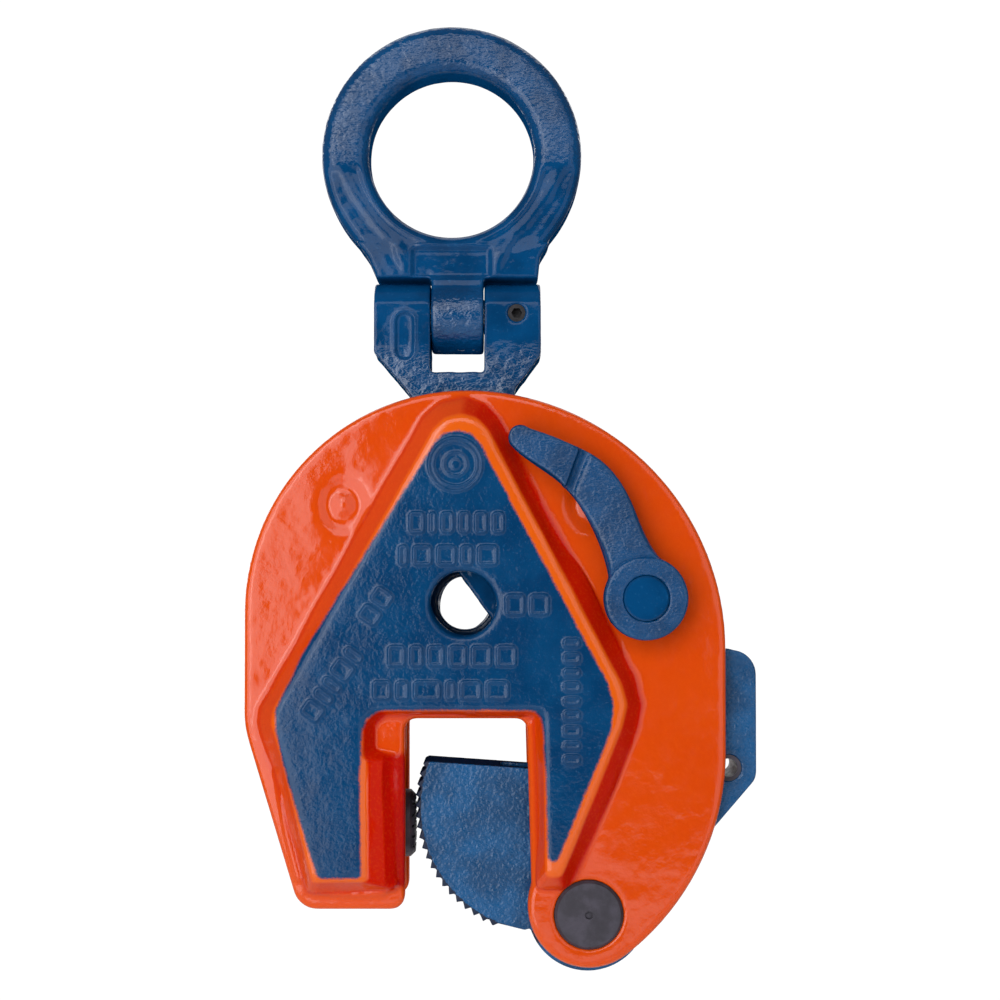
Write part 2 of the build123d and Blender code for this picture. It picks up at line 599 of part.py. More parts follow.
with BuildPart() as shackle:
    with BuildSketch(Plane.XZ):
        Polygon((clevis_left, HINGE_Z + EAR_R), (clevis_right, HINGE_Z + EAR_R), (clevis_right, -46.6),
                (14.6, -54.6), (14.0, -62.0), (FOOT_X + FOOT_R, -86.0), (FOOT_X + FOOT_R, FOOT_Z),
                (FOOT_X, FOOT_Z - FOOT_R), (10.0, FOOT_Z - FOOT_R), (-8.0, -83.0), (-8.6, -57.0),
                (-10.4, -54.6), (clevis_left, -46.0), align=None)
        with Locations((FOOT_X, FOOT_Z)):
            Circle(FOOT_R)
    extrude(amount=SHACKLE_THICK / 2, both=True)
    with BuildSketch(Plane.YZ.offset(clevis_left)):
        with Locations((0, HINGE_Z)):
            Circle(EAR_R)
        with Locations((0, HINGE_Z - 50)):
            Rectangle(SHACKLE_THICK, 100)
    extrude(amount=80, mode=Mode.INTERSECT)
    with BuildSketch(Plane.XZ):
        with Locations((HINGE_X, HINGE_Z)):
            Rectangle(HINGE_SLOT, 2 * CLEVIS_SLOT_DEPTH)
    extrude(amount=EAR_R + 1, both=True, mode=Mode.SUBTRACT)
    with BuildSketch(Plane.XZ):
        with Locations((FOOT_X, FOOT_Z)):
            Circle(FORK_R)
        with Locations((FOOT_X - FORK_R, FOOT_Z)):
            Rectangle(3 * FORK_R, 2 * FORK_R, align=(Align.MIN, Align.MAX))
    extrude(amount=FORK_GAP / 2, both=True, mode=Mode.SUBTRACT)
    with BuildSketch(Plane.XZ):
        with Locations((FOOT_X, FOOT_Z)):
            Circle(LINK_PIN_UP_R)
        with Locations((LOCK_PIN_X, HINGE_Z)):
            Circle(LOCK_PIN_R)
        with Locations((FOOT_X + FOOT_R + DOG_NOTCH_OUT, LEVER_Z + DOG_NOTCH_RISE)):
            Circle(DOG_NOTCH_R)
    extrude(amount=EAR_R + 1, both=True, mode=Mode.SUBTRACT)
    with BuildSketch(Plane.YZ.offset(clevis_left - 1)):
        with Locations((0, HINGE_Z)):
            Circle(HINGE_PIN_R)
    extrude(amount=CLEVIS_WIDTH + 2, mode=Mode.SUBTRACT)
    with BuildSketch(Plane.XZ.offset(SHACKLE_THICK / 2)):
        with Locations((clevis_left + EAR_RECESS_X, EAR_RECESS_Z)):
            SlotOverall(EAR_RECESS_LENGTH, EAR_RECESS_WIDTH, rotation=90)
    extrude(amount=-EAR_RECESS_DEPTH, mode=Mode.SUBTRACT)
shackle.part.label = "shackle"
export_step(shackle.part, "parts/shackle.step")

with BuildPart() as hinge_pin:
    with BuildSketch(Plane.YZ.offset(clevis_left + END_CHAMFER)):
        with Locations((0, HINGE_Z)):
            Circle(HINGE_PIN_R)
    extrude(amount=CLEVIS_WIDTH - 2 * END_CHAMFER)
    chamfer(hinge_pin.edges().filter_by(GeomType.CIRCLE), length=END_CHAMFER)
    with BuildSketch(Plane.XZ):
        with Locations((LOCK_PIN_X, HINGE_Z)):
            Circle(LOCK_PIN_R)
    extrude(amount=HINGE_PIN_R + 1, both=True, mode=Mode.SUBTRACT)
hinge_pin.part.label = "hinge_pin"
export_step(hinge_pin.part, "parts/hinge_pin.step")

with BuildPart() as hinge_lock_pin:
    with BuildSketch(Plane.XZ):
        with Locations((LOCK_PIN_X, HINGE_Z)):
            Circle(LOCK_PIN_R)
    extrude(amount=EAR_R - LOCK_PIN_SINK, both=True)
    with BuildSketch(Plane.XZ.offset(EAR_R - LOCK_PIN_SINK)):
        with Locations((LOCK_PIN_X, HINGE_Z)):
            RegularPolygon(radius=LOCK_SOCKET_R, side_count=6)
    extrude(amount=-LOCK_SOCKET_DEPTH, mode=Mode.SUBTRACT)
hinge_lock_pin.part.label = "hinge_lock_pin"
export_step(hinge_lock_pin.part, "parts/hinge_lock_pin.step")

# ---- Eye: ring, shoulder and hinge tongue ----------------------------------------------------
with BuildPart() as eye:
    with BuildSketch(Plane.XY):
        with Locations(((EYE_BORE_R + EYE_OUTER_R) / 2, 0)):
            RectangleRounded(EYE_OUTER_R - EYE_BORE_R, EYE_THICK, EYE_EDGE_R)
    revolve(axis=Axis.Y)
    with BuildSketch(Plane.XZ):
        Polygon((-21.8, -20.4), (-19.2, NECK_Z), (HINGE_X - SHOULDER_HALF, SHOULDER_Z),
                (HINGE_X + SHOULDER_HALF, SHOULDER_Z), (20.4, NECK_Z), (22.6, -20.4), (12.0, -22.0),
                (-12.0, -22.0), align=None)
    extrude(amount=EYE_THICK / 2 - SHOULDER_STEP, both=True)
    split(bisect_by=Plane.XY.offset(SHOULDER_Z), keep=Keep.TOP)
    with BuildSketch(Plane.YZ.offset(HINGE_X - TONGUE_WIDTH / 2)):
        with Locations((0, HINGE_Z)):
            Circle(TONGUE_R)
        with Locations((0, (HINGE_Z + NECK_Z) / 2)):
            Rectangle(EYE_THICK, NECK_Z - HINGE_Z)
    extrude(amount=TONGUE_WIDTH)
    with BuildSketch(Plane.YZ.offset(HINGE_X - TONGUE_WIDTH)):
        with Locations((0, HINGE_Z)):
            Circle(HINGE_PIN_R + PIN_FIT)
    extrude(amount=2 * TONGUE_WIDTH, mode=Mode.SUBTRACT)
    with BuildSketch(Plane.XZ):
        Circle(EYE_BORE_R)
    extrude(amount=EYE_THICK, both=True, mode=Mode.SUBTRACT)
eye.part.label = "eye"
export_step(eye.part, "parts/eye.step")

# ---- Lever with shaft, bush, washer, dog and cross pin ---------------------------------------
with BuildPart() as lever:
    with BuildSketch(Plane.XZ.offset(LEVER_BACK_Y)):
        with BuildLine():
            outer_edge = Spline(*LEVER_OUTER_EDGE)
            inner_edge = Spline(*LEVER_INNER_EDGE)
            Line(outer_edge @ 1, inner_edge @ 0)
            ThreePointArc(inner_edge @ 1, LEVER_TIP, outer_edge @ 0)
        make_face()
    extrude(amount=LEVER_ARM_THICK)
    with BuildSketch(Plane.XZ.offset(LEVER_BACK_Y)):
        with Locations((LEVER_X, LEVER_Z)):
            Circle(LEVER_HUB_R)
    extrude(amount=LEVER_HUB_FRONT_Y - LEVER_BACK_Y)
    with BuildSketch(Plane.XZ.offset(LEVER_BACK_Y)):
        with BuildLine():
            tab_outer = Spline(*LEVER_OUTER_EDGE[:2], TAB_OUTER_END)
            tab_inner = Spline(TAB_INNER_END, *LEVER_INNER_EDGE[-3:])
            Line(tab_outer @ 1, tab_inner @ 0)
            ThreePointArc(tab_inner @ 1, LEVER_TIP, tab_outer @ 0)
        make_face()
    extrude(amount=LEVER_TAB_THICK)
    with BuildSketch(Plane.XZ):
        with Locations((LEVER_X, LEVER_Z)):
            Circle(LEVER_SHAFT_R)
    extrude(amount=2 * PLATEAU_Y, mode=Mode.SUBTRACT)
    with BuildSketch(Plane.YZ.offset(LEVER_X)):
        with Locations((-LEVER_PIN_Y, LEVER_Z)):
            Circle(LEVER_PIN_R)
    extrude(amount=2 * LEVER_HUB_R, mode=Mode.SUBTRACT)
lever.part.label = "lever"
export_step(lever.part, "parts/lever.step")

with BuildPart() as lever_shaft:
    with BuildSketch(Plane.XZ.offset(DOG_INNER_Y)):
        with Locations((LEVER_X, LEVER_Z)):
            Circle(LEVER_SHAFT_R)
    extrude(amount=LEVER_HUB_FRONT_Y + LEVER_SHAFT_RISE - DOG_INNER_Y)
    chamfer(lever_shaft.edges().group_by(Axis.Y)[0], length=END_CHAMFER)
    with BuildSketch(Plane.YZ.offset(LEVER_X)):
        with Locations((-LEVER_PIN_Y, LEVER_Z)):
            Circle(LEVER_PIN_R)
    extrude(amount=2 * LEVER_HUB_R, mode=Mode.SUBTRACT)
lever_shaft.part.label = "lever_shaft"
export_step(lever_shaft.part, "parts/lever_shaft.step")

with BuildPart() as lever_bush:
    with BuildSketch(Plane.XZ.offset(PLATE_GAP / 2)):
        with Locations((LEVER_X, LEVER_Z)):
            Circle(LEVER_BUSH_R)
    extrude(amount=FLANGE_THICK)
    with BuildSketch(Plane.XZ.offset(FLANGE_Y)):
        with Locations((LEVER_X, LEVER_Z)):
            Circle(LEVER_HUB_R - LEVER_BUSH_COLLAR)
    extrude(amount=LEVER_BUSH_COLLAR)
    with BuildSketch(Plane.XZ):
        with Locations((LEVER_X, LEVER_Z)):
            Circle(LEVER_SHAFT_R + PIN_FIT)
    extrude(amount=2 * PLATEAU_Y, mode=Mode.SUBTRACT)
lever_bush.part.label = "lever_bush"
export_step(lever_bush.part, "parts/lever_bush.step")

with BuildPart() as lever_washer:
    with BuildSketch(Plane.XZ.offset(FLANGE_Y + LEVER_BUSH_COLLAR + PIN_FIT)):
        with Locations((LEVER_X, LEVER_Z)):
            Circle(LEVER_HUB_R - LEVER_WASHER_SINK)
            Circle(LEVER_SHAFT_R + PIN_FIT, mode=Mode.SUBTRACT)
    extrude(amount=LEVER_WASHER_THICK)
lever_washer.part.label = "lever_washer"
export_step(lever_washer.part, "parts/lever_washer.step")

with BuildPart() as lock_dog:
    with BuildSketch(Plane.XZ.offset(DOG_INNER_Y)):
        with Locations((LEVER_X, LEVER_Z)):
            Circle(DOG_HUB_R)
            Circle(LEVER_SHAFT_R, mode=Mode.SUBTRACT)
        with Locations((LEVER_X - DOG_NOSE_X, LEVER_Z)):
            RectangleRounded(DOG_NOSE_LENGTH, DOG_NOSE_WIDTH, DOG_NOSE_R)
        with Locations((LEVER_X, LEVER_Z)):
            Circle(LEVER_SHAFT_R, mode=Mode.SUBTRACT)
    extrude(amount=DOG_THICK)
lock_dog.part.label = "lock_dog"
export_step(lock_dog.part, "parts/lock_dog.step")

with BuildPart() as lever_pin:
    with BuildSketch(Plane.YZ.offset(LEVER_X)):
        with Locations((-LEVER_PIN_Y, LEVER_Z)):
            Circle(LEVER_PIN_R)
    extrude(amount=LEVER_HUB_R - LEVER_SHAFT_RISE)
lever_pin.part.label = "lever_pin"
export_step(lever_pin.part, "parts/lever_pin.step")

# ---- Tension spring, as a plain bar of its outer diameter ------------------------------------
spring_run = Vector(TAIL_PIN_X - POST_X, TAIL_PIN_Z - POST_Z)
spring_start = Vector(POST_X, POST_Z) + spring_run.normalized() * SPRING_HOOK
spring_end = Vector(TAIL_PIN_X, TAIL_PIN_Z) - spring_run.normalized() * SPRING_HOOK
spring_plane = Plane(
    origin=(spring_start.X, 0, spring_start.Y), z_dir=(spring_run.X, 0, spring_run.Y), x_dir=(0, 1, 0)
)

with BuildPart() as tension_spring:
    with BuildSketch(spring_plane):
        Circle(SPRING_OUTER_R)
        Circle(SPRING_OUTER_R - 2 * SPRING_WIRE_R, mode=Mode.SUBTRACT)
    extrude(amount=(spring_end - spring_start).length)
tension_spring.part.label = "tension_spring"
export_step(tension_spring.part, "parts/tension_spring.step")
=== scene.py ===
import json
import math

import bmesh
import bpy
import numpy as np
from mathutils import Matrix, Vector


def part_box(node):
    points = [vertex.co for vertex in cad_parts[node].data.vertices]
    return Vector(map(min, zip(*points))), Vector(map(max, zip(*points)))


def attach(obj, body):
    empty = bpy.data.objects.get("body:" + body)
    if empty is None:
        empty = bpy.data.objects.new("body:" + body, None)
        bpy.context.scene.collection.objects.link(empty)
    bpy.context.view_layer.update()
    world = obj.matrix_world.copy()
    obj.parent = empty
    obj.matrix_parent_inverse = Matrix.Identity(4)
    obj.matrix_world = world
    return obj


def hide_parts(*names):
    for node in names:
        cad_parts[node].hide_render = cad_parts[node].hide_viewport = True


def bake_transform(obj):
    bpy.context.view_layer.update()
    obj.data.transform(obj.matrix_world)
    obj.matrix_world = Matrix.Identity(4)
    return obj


# Looks for a vertical plate lifting clamp: forged and painted housing, lever, eye and cam
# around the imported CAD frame. Shapes are worked in millimetres and stored in metres.

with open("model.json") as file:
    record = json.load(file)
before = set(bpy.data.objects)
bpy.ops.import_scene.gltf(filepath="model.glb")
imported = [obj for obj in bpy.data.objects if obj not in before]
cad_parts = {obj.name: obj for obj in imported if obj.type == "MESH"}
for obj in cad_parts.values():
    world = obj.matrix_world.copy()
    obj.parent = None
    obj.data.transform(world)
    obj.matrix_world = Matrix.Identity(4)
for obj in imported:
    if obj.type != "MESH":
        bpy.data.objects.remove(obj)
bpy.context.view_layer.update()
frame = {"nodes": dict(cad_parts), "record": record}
MM = 0.001

FRONT, BACK = -1.0, 1.0  # side of the middle plane a housing plate lies on
FLANGE_Y = 13.0  # from the middle plane to the plates' flat flange
PLATEAU_Y = 17.0  # from the middle plane to their raised face


def centre_mm(node):
    """Middle of a CAD node's box at rest, in millimetres."""
    lo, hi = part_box(node)
    return (np.array(lo) / MM + np.array(hi) / MM) / 2


LEVER_HUB = centre_mm("lever_shaft")
TAIL = centre_mm("tail_pin")
POST = centre_mm("spring_post")

# ---- Mesh tools ----------------------------------------------------------------------------

WELD = 1e-7  # metres: CAD points closer together than this are one point
RELAX_SHARE = 0.5  # part of the way to its neighbours' middle that a point moves in one step
LUMP_CELLS = 48  # random relief repeats after this many lumps
EDGE_ON, FACING = 0.25, 0.55  # how far a normal leans to front or back: no gloss, full gloss


def cad_copy(node):
    """A CAD node's mesh as a new mesh, in millimetres."""
    bm = bmesh.new()
    bm.from_mesh(frame["nodes"][node].data)
    bmesh.ops.remove_doubles(bm, verts=bm.verts, dist=WELD)
    bmesh.ops.scale(bm, vec=(1 / MM,) * 3, verts=bm.verts)
    mesh = bpy.data.meshes.new(node)
    bm.to_mesh(mesh)
    bm.free()
    return mesh


def baked_mesh(holder):
    """The mesh that this object comes out as, modifiers and all; the object is removed."""
    graph = bpy.context.evaluated_depsgraph_get()
    result = bpy.data.meshes.new_from_object(holder.evaluated_get(graph))
    bpy.data.objects.remove(holder)
    return result


def even_mesh(mesh, voxel):
    """The same solid as an even quad mesh with this spacing."""
    holder = bpy.data.objects.new("holder", mesh)
    bpy.context.scene.collection.objects.link(holder)
    remesh = holder.modifiers.new("even", "REMESH")
    remesh.mode = "VOXEL"
    remesh.voxel_size = voxel
    remesh.use_smooth_shade = True
    return baked_mesh(holder)


def points_of(mesh):
    co = np.empty(len(mesh.vertices) * 3)
    mesh.vertices.foreach_get("co", co)
    return co.reshape(-1, 3)


def set_points(mesh, co):
    mesh.vertices.foreach_set("co", co.ravel())
    mesh.update()


def normals_of(mesh):
    n = np.empty(len(mesh.vertices) * 3)
    mesh.vertex_normals.foreach_get("vector", n)
    return n.reshape(-1, 3)


def relax(mesh, steps, weight=1.0):
    """Rounds the mesh: each step moves every point part of the way to its neighbours' middle."""
    edges = np.empty(len(mesh.edges) * 2, dtype=np.int32)
    mesh.edges.foreach_get("vertices", edges)
    a, b = edges[0::2], edges[1::2]
    co = points_of(mesh)
    count = np.bincount(np.concatenate([a, b]), minlength=len(co))
    share = RELAX_SHARE * np.asarray(weight, float) * np.ones(len(co))
    for _ in range(steps):
        for axis in range(3):
            c = co[:, axis]
            total = np.bincount(a, c[b], len(co)) + np.bincount(b, c[a], len(co))
            co[:, axis] = c + share * (total / count - c)
    set_points(mesh, co)


def refine(mesh, inside):
    """Splits the faces whose corners all pass the test, for fine relief there."""
    keep = inside(points_of(mesh))
    bm = bmesh.new()
    bm.from_mesh(mesh)
    bm.verts.ensure_lookup_table()
    edges = [e for e in bm.edges if keep[e.verts[0].index] and keep[e.verts[1].index]]
    bmesh.ops.subdivide_edges(bm, edges=edges, cuts=1, use_grid_fill=True)
    for face in bm.faces:
        face.smooth = True
    bm.to_mesh(mesh)
    bm.free()


def smooth_step(low, high, value):
    t = np.clip((value - low) / (high - low), 0.0, 1.0)
    return t * t * (3.0 - 2.0 * t)


def lumps(co, size, seed):
    """Smooth random relief between -1 and 1 whose lumps are about this size."""
    table = np.random.default_rng(seed).uniform(-1.0, 1.0, (LUMP_CELLS,) * 3)
    cell = np.floor(co / size).astype(int)
    f = co / size - cell
    f = f * f * (3.0 - 2.0 * f)
    total = np.zeros(len(co))
    for dx, dy, dz in np.ndindex(2, 2, 2):
        share = np.abs(1 - dx - f[:, 0]) * np.abs(1 - dy - f[:, 1]) * np.abs(1 - dz - f[:, 2])
        i, j, k = ((cell + (dx, dy, dz)) % LUMP_CELLS).T
        total += share * table[i, j, k]
    return total


def path_distance(x, z, path):
    """Distance from points to an open path."""
    best = np.full(len(x), np.inf)
    for (ax, az), (bx, bz) in zip(path, path[1:]):
        ex, ez = bx - ax, bz - az
        t = np.clip(((x - ax) * ex + (z - az) * ez) / (ex * ex + ez * ez), 0.0, 1.0)
        best = np.minimum(best, np.hypot(x - ax - t * ex, z - az - t * ez))
    return best


def outline_distance(x, z, outline):
    """Signed distance from points to a closed outline, negative inside."""
    closed = outline + outline[:1]
    inside = np.zeros(len(x), bool)
    for (ax, az), (bx, bz) in zip(closed, closed[1:]):
        if az != bz:
            crosses = (az > z) != (bz > z)
            inside ^= crosses & (x < ax + (z - az) * (bx - ax) / (bz - az))
    distance = path_distance(x, z, closed)
    return np.where(inside, -distance, distance)


def ridge(distance, width):
    return np.exp(-((distance / width) ** 2))


def finish_piece(mesh, name, body, nodes, material, dull=0.0):
    """Turns a sculpted mesh into a shown piece that stands for its CAD nodes."""
    mark_sheen(mesh, dull)
    set_points(mesh, points_of(mesh) * MM)
    mesh.name = name
    mesh.materials.clear()
    mesh.materials.append(material)
    piece = bpy.data.objects.new(name, mesh)
    bpy.context.scene.collection.objects.link(piece)
    for polygon in mesh.polygons:
        polygon.use_smooth = True
    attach(piece, body)
    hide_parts(*nodes)


def attribute(mesh, name, values):
    layer = mesh.attributes.new(name, "FLOAT", "POINT")
    layer.data.foreach_set("value", np.asarray(values, np.float32))


def mark_sheen(mesh, dull=0.0):
    """Stores how far each point faces front or back, less where it is dull, for the paint's gloss."""
    leaning = np.abs(normals_of(mesh)[:, 1])
    attribute(mesh, "sheen", smooth_step(EDGE_ON, FACING, leaning) * (1.0 - dull))


# ---- Materials -----------------------------------------------------------------------------


def srgb(r, g, b):
    """Linear colour from 8-bit screen values."""
    values = [v / 255 for v in (r, g, b)]
    linear = (v / 12.92 if v <= 0.04045 else ((v + 0.055) / 1.055) ** 2.4 for v in values)
    return tuple(linear) + (1.0,)


NOISE_SPREAD = (0.3, 0.7)  # most of a noise's values lie between these


class Finish:
    """A material being built: its node tree, its Principled shader and short ways to add nodes."""

    def __init__(self, name, **constants):
        self.material = bpy.data.materials.new(name)
        self.material.use_nodes = True
        self.tree = self.material.node_tree
        self.shader = self.tree.nodes["Principled BSDF"]
        for socket, value in constants.items():
            self.shader.inputs[socket.replace("_", " ")].default_value = value
        self.place = self.node("ShaderNodeTexCoord").outputs["Object"]

    def node(self, kind, **settings):
        node = self.tree.nodes.new(kind)
        for key, value in settings.items():
            setattr(node, key, value)
        return node

    def link(self, source, target):
        self.tree.links.new(source, target)

    def feed(self, socket, value):
        """Gives a socket a constant, or another node's output."""
        if isinstance(value, (int, float, tuple)):
            socket.default_value = value
        else:
            self.link(value, socket)

    def painted(self, name):
        """A value stored on the mesh's points."""
        return self.node("ShaderNodeAttribute", attribute_name=name).outputs["Fac"]

    def noise(self, size, detail=2.0, roughness=0.5, stretch=None):
        """Noise whose features are about this many millimetres across."""
        node = self.node("ShaderNodeTexNoise")
        node.inputs["Scale"].default_value = 1 / (size * MM)
        node.inputs["Detail"].default_value = detail
        node.inputs["Roughness"].default_value = roughness
        place = self.place
        if stretch:
            mapping = self.node("ShaderNodeMapping")
            mapping.inputs["Scale"].default_value = stretch
            self.link(place, mapping.inputs["Vector"])
            place = mapping.outputs["Vector"]
        self.link(place, node.inputs["Vector"])
        return node.outputs["Fac"]

    def range(self, source, low, high, to_low=0.0, to_high=1.0):
        """The source with low to high stretched smoothly to to_low to to_high."""
        node = self.node("ShaderNodeMapRange", interpolation_type="SMOOTHSTEP")
        sockets = ("From Min", "From Max", "To Min", "To Max")
        for socket, value in zip(sockets, (low, high, to_low, to_high)):
            node.inputs[socket].default_value = value
        self.link(source, node.inputs["Value"])
        return node.outputs["Result"]

    def varied(self, size, low, high):
        """A value that wanders from low to high over about this many millimetres."""
        return self.range(self.noise(size), *NOISE_SPREAD, low, high)

    def math(self, operation, a, b):
        node = self.node("ShaderNodeMath", operation=operation)
        for socket, value in zip(node.inputs, (a, b)):
            self.feed(socket, value)
        return node.outputs["Value"]

    def mix(self, factor, a, b):
        """Colour a where the factor is 0, colour b where it is 1."""
        node = self.node("ShaderNodeMix", data_type="RGBA")
        colour_sockets = [s for s in node.inputs if s.type == "RGBA"]
        for socket, value in zip([node.inputs[0], *colour_sockets], (factor, a, b)):
            self.feed(socket, value)
        return [s for s in node.outputs if s.type == "RGBA"][0]

    def mix_numbers(self, factor, a, b):
        """Number a where the factor is 0, number b where it is 1."""
        node = self.node("ShaderNodeMix", data_type="FLOAT")
        for socket, value in zip((node.inputs[0], node.inputs[2], node.inputs[3]), (factor, a, b)):
            self.feed(socket, value)
        return node.outputs[0]

    def colour(self, source):
        self.link(source, self.shader.inputs["Base Color"])

    def roughness(self, source):
        self.link(source, self.shader.inputs["Roughness"])

    def sheen(self, level, coat):
        """Gloss on faces that look to the front or back; sideways faces are matt from every side."""
        faces_out = self.painted("sheen")
        self.link(self.math("MULTIPLY", faces_out, level), self.shader.inputs["Specular IOR Level"])
        self.link(self.math("MULTIPLY", faces_out, coat), self.shader.inputs["Coat Weight"])

    def bump(self, *layers):
        """Bumps from (height, millimetres) pairs, the coarse ones first."""
        normal = None
        for height, amount in layers:
            node = self.node("ShaderNodeBump")
            node.inputs["Distance"].default_value = amount * MM
            self.link(height, node.inputs["Height"])
            if normal:
                self.link(normal, node.inputs["Normal"])
            normal = node.outputs["Normal"]
        self.link(normal, self.shader.inputs["Normal"])


BLUE = srgb(6, 70, 118)
BLUE_DARK = srgb(3, 60, 106)
BLUE_BRIGHT = srgb(5, 73, 125)
BLUE_VIVID = srgb(16, 90, 146)
BLUE_LIGHT = srgb(34, 96, 146)
ORANGE = srgb(242, 88, 8)
# Deep red: the colour of the orange's faint random clouds, and of painted shade on the housing's walls
# and creases.
ORANGE_DEEP_AND_SHADE = srgb(204, 12, 0)
ORANGE_THIN = srgb(246, 112, 18)
TOOTH_STEEL = srgb(22, 38, 66)


def blue_coat(finish, deep=BLUE_DARK, shallow=BLUE_BRIGHT):
    """The colour of the blue paint: cloudy, with pale specks where the grain shows through."""
    clouds = finish.range(finish.noise(9.0, 3.0), 0.35, 0.65)
    base = finish.mix(clouds, deep, shallow)
    speckle = finish.range(finish.noise(0.7, 2.0), 0.62, 0.74, 0.0, 0.35)
    return finish.mix(speckle, base, BLUE_LIGHT)


def orange_coat(finish, painted_shade=None, thin=None):
    """The colour of the orange paint: faint redder clouds, deep red painted shade where the mask asks for
    it, and yellower on thinly covered edges.
    """
    clouds = finish.range(finish.noise(18.0, 3.0), 0.34, 0.66, 0.0, 0.08)
    base = finish.mix(clouds, ORANGE, ORANGE_DEEP_AND_SHADE)
    if painted_shade:
        # Painted shade: the colour darkens towards deep red where the mask is set.
        base = finish.mix(painted_shade, base, ORANGE_DEEP_AND_SHADE)
    grain = finish.range(finish.noise(0.6, 2.0), 0.45, 0.75, 0.0, 0.10)
    base = finish.mix(grain, base, ORANGE_THIN)
    return finish.mix(thin, base, ORANGE_THIN) if thin else base


def blue_paint(name, smooth, satin, grain_size, lift=0.0):
    """Blue enamel between these two roughness values; lift adds gloss."""
    finish = Finish(name, Coat_Roughness=0.08)
    # Brushed-on paint over a forged skin: the skin attribute says how coarse and glossy it is.
    skin = finish.painted("skin")
    base_level = finish.range(skin, 0.1, 0.9, 0.16, 0.30)
    level = finish.math("ADD", base_level, finish.range(skin, 1.0, 1.4, lift, 0.32))
    finish.sheen(level, finish.range(skin, 1.0, 1.4, 0.12, 0.4))
    finish.colour(blue_coat(finish))
    finish.roughness(finish.varied(2.0, smooth, satin))
    grain = finish.math("MULTIPLY", finish.noise(grain_size, 1.5, 0.6, (1, 1, 1.6)), skin)
    finish.bump((finish.noise(5.0, 2.0), 0.24), (grain, 0.24))
    return finish.material


def cam_paint():
    """Thin blue paint on the cam, worn to dark steel on its teeth and cut faces."""
    finish = Finish("cam_paint", Coat_Roughness=0.2)
    finish.sheen(0.4, 0.12)
    ragged = finish.math("ADD", finish.painted("bare"), finish.varied(0.8, -0.25, 0.25))
    bare = finish.range(ragged, 0.4, 0.6)
    finish.colour(finish.mix(bare, blue_coat(finish, BLUE, BLUE_VIVID), TOOTH_STEEL))
    gloss = finish.varied(2.0, 0.20, 0.32)
    finish.roughness(finish.math("MAXIMUM", gloss, finish.math("MULTIPLY", bare, 0.7)))
    finish.bump((finish.noise(0.9, 1.0), 0.30))
    return finish.material


def orange_paint():
    """Smooth orange enamel with a soft orange peel."""
    finish = Finish("orange_paint", Coat_Roughness=0.10)
    finish.sheen(0.4, 0.3)
    finish.colour(orange_coat(finish))
    finish.roughness(finish.varied(3.0, 0.20, 0.34))
    finish.bump((finish.noise(8.0, 2.0), 0.35), (finish.noise(1.1, 2.0), 0.03))
    return finish.material


def plate_paint():
    """Orange housing paint, with blue sprayed over the raised face up to a grainy edge."""
    finish = Finish("plate_paint", Coat_Roughness=0.06)
    wander = finish.range(finish.noise(3.0), 0.25, 0.75, -0.12, 0.12)
    ragged = finish.math("ADD", finish.painted("blue_mm"), wander)
    grainy = finish.math("ADD", ragged, finish.varied(0.35, -0.12, 0.12))
    blue = finish.range(grainy, -0.42, 0.42)
    finish.sheen(finish.range(blue, 0.0, 1.0, 0.42, 0.26), finish.range(blue, 0.0, 1.0, 0.22, 0.12))
    # The housing's walls and creases carry painted shade in deep red.
    orange = orange_coat(finish, finish.painted("painted_shade"), finish.painted("thin"))
    finish.colour(finish.mix(blue, orange, blue_coat(finish, BLUE_DARK, BLUE)))
    gloss = finish.mix_numbers(blue, finish.varied(3.0, 0.08, 0.16), finish.varied(2.0, 0.08, 0.16))
    finish.roughness(gloss)
    grain = finish.math("MULTIPLY", finish.noise(0.9, 2.0, 0.6), blue)
    finish.bump((finish.noise(7.0, 2.0), 0.22), (grain, 0.09), (finish.noise(0.8, 2.0), 0.03))
    return finish.material


def steel(name, base, dark, grain, rough, bump_mm, metal=1.0, streak=None):
    """Bare or blackened steel with stains and fine scratches, long ones if streak stretches them."""
    finish = Finish(name, Metallic=metal)
    stains = finish.range(finish.noise(4.0, 4.0, 0.6), 0.35, 0.65)
    colour = finish.mix(stains, dark, base)
    scratches = finish.noise(grain, 3.0, 0.6, streak)
    finish.colour(finish.mix(finish.range(scratches, 0.6, 0.75, 0.0, 0.4), colour, dark))
    finish.roughness(finish.range(scratches, *NOISE_SPREAD, rough - 0.1, rough + 0.1))
    finish.bump((scratches, bump_mm))
    return finish.material


def seal_rubber():
    """Matt black rubber with some dust on it."""
    finish = Finish("seal_rubber", Specular_IOR_Level=0.3)
    dust = finish.range(finish.noise(0.8, 3.0), 0.5, 0.75, 0.0, 0.5)
    finish.colour(finish.mix(dust, srgb(22, 22, 24), srgb(58, 56, 54)))
    finish.roughness(finish.varied(0.5, 0.6, 0.8))
    finish.bump((finish.noise(0.3, 2.0), 0.02))
    return finish.material


# A finish for each material slot of the record, then three of their own for the housing plates,
# the hinge's lock pin and the lever.
FINISHES = {
    "blue_paint": blue_paint("blue_paint", 0.06, 0.12, 1.3),
    "cam_paint": cam_paint(),
    "orange_paint": orange_paint(),
    "machined_steel": steel(
        "machined_steel", srgb(196, 196, 194), srgb(120, 118, 116), 0.5, 0.32, 0.008, streak=(1, 1, 6)
    ),
    "dark_oxide_steel": steel(
        "dark_oxide_steel", srgb(80, 76, 88), srgb(62, 59, 68), 0.9, 0.46, 0.012, metal=0.35
    ),
    "spring_steel": steel(
        "spring_steel", srgb(150, 150, 152), srgb(70, 66, 64), 0.4, 0.3, 0.006, streak=(1, 1, 3)
    ),
    "bronze": steel("bronze", srgb(196, 146, 84), srgb(122, 82, 44), 0.6, 0.34, 0.01),
    "seal_rubber": seal_rubber(),
}
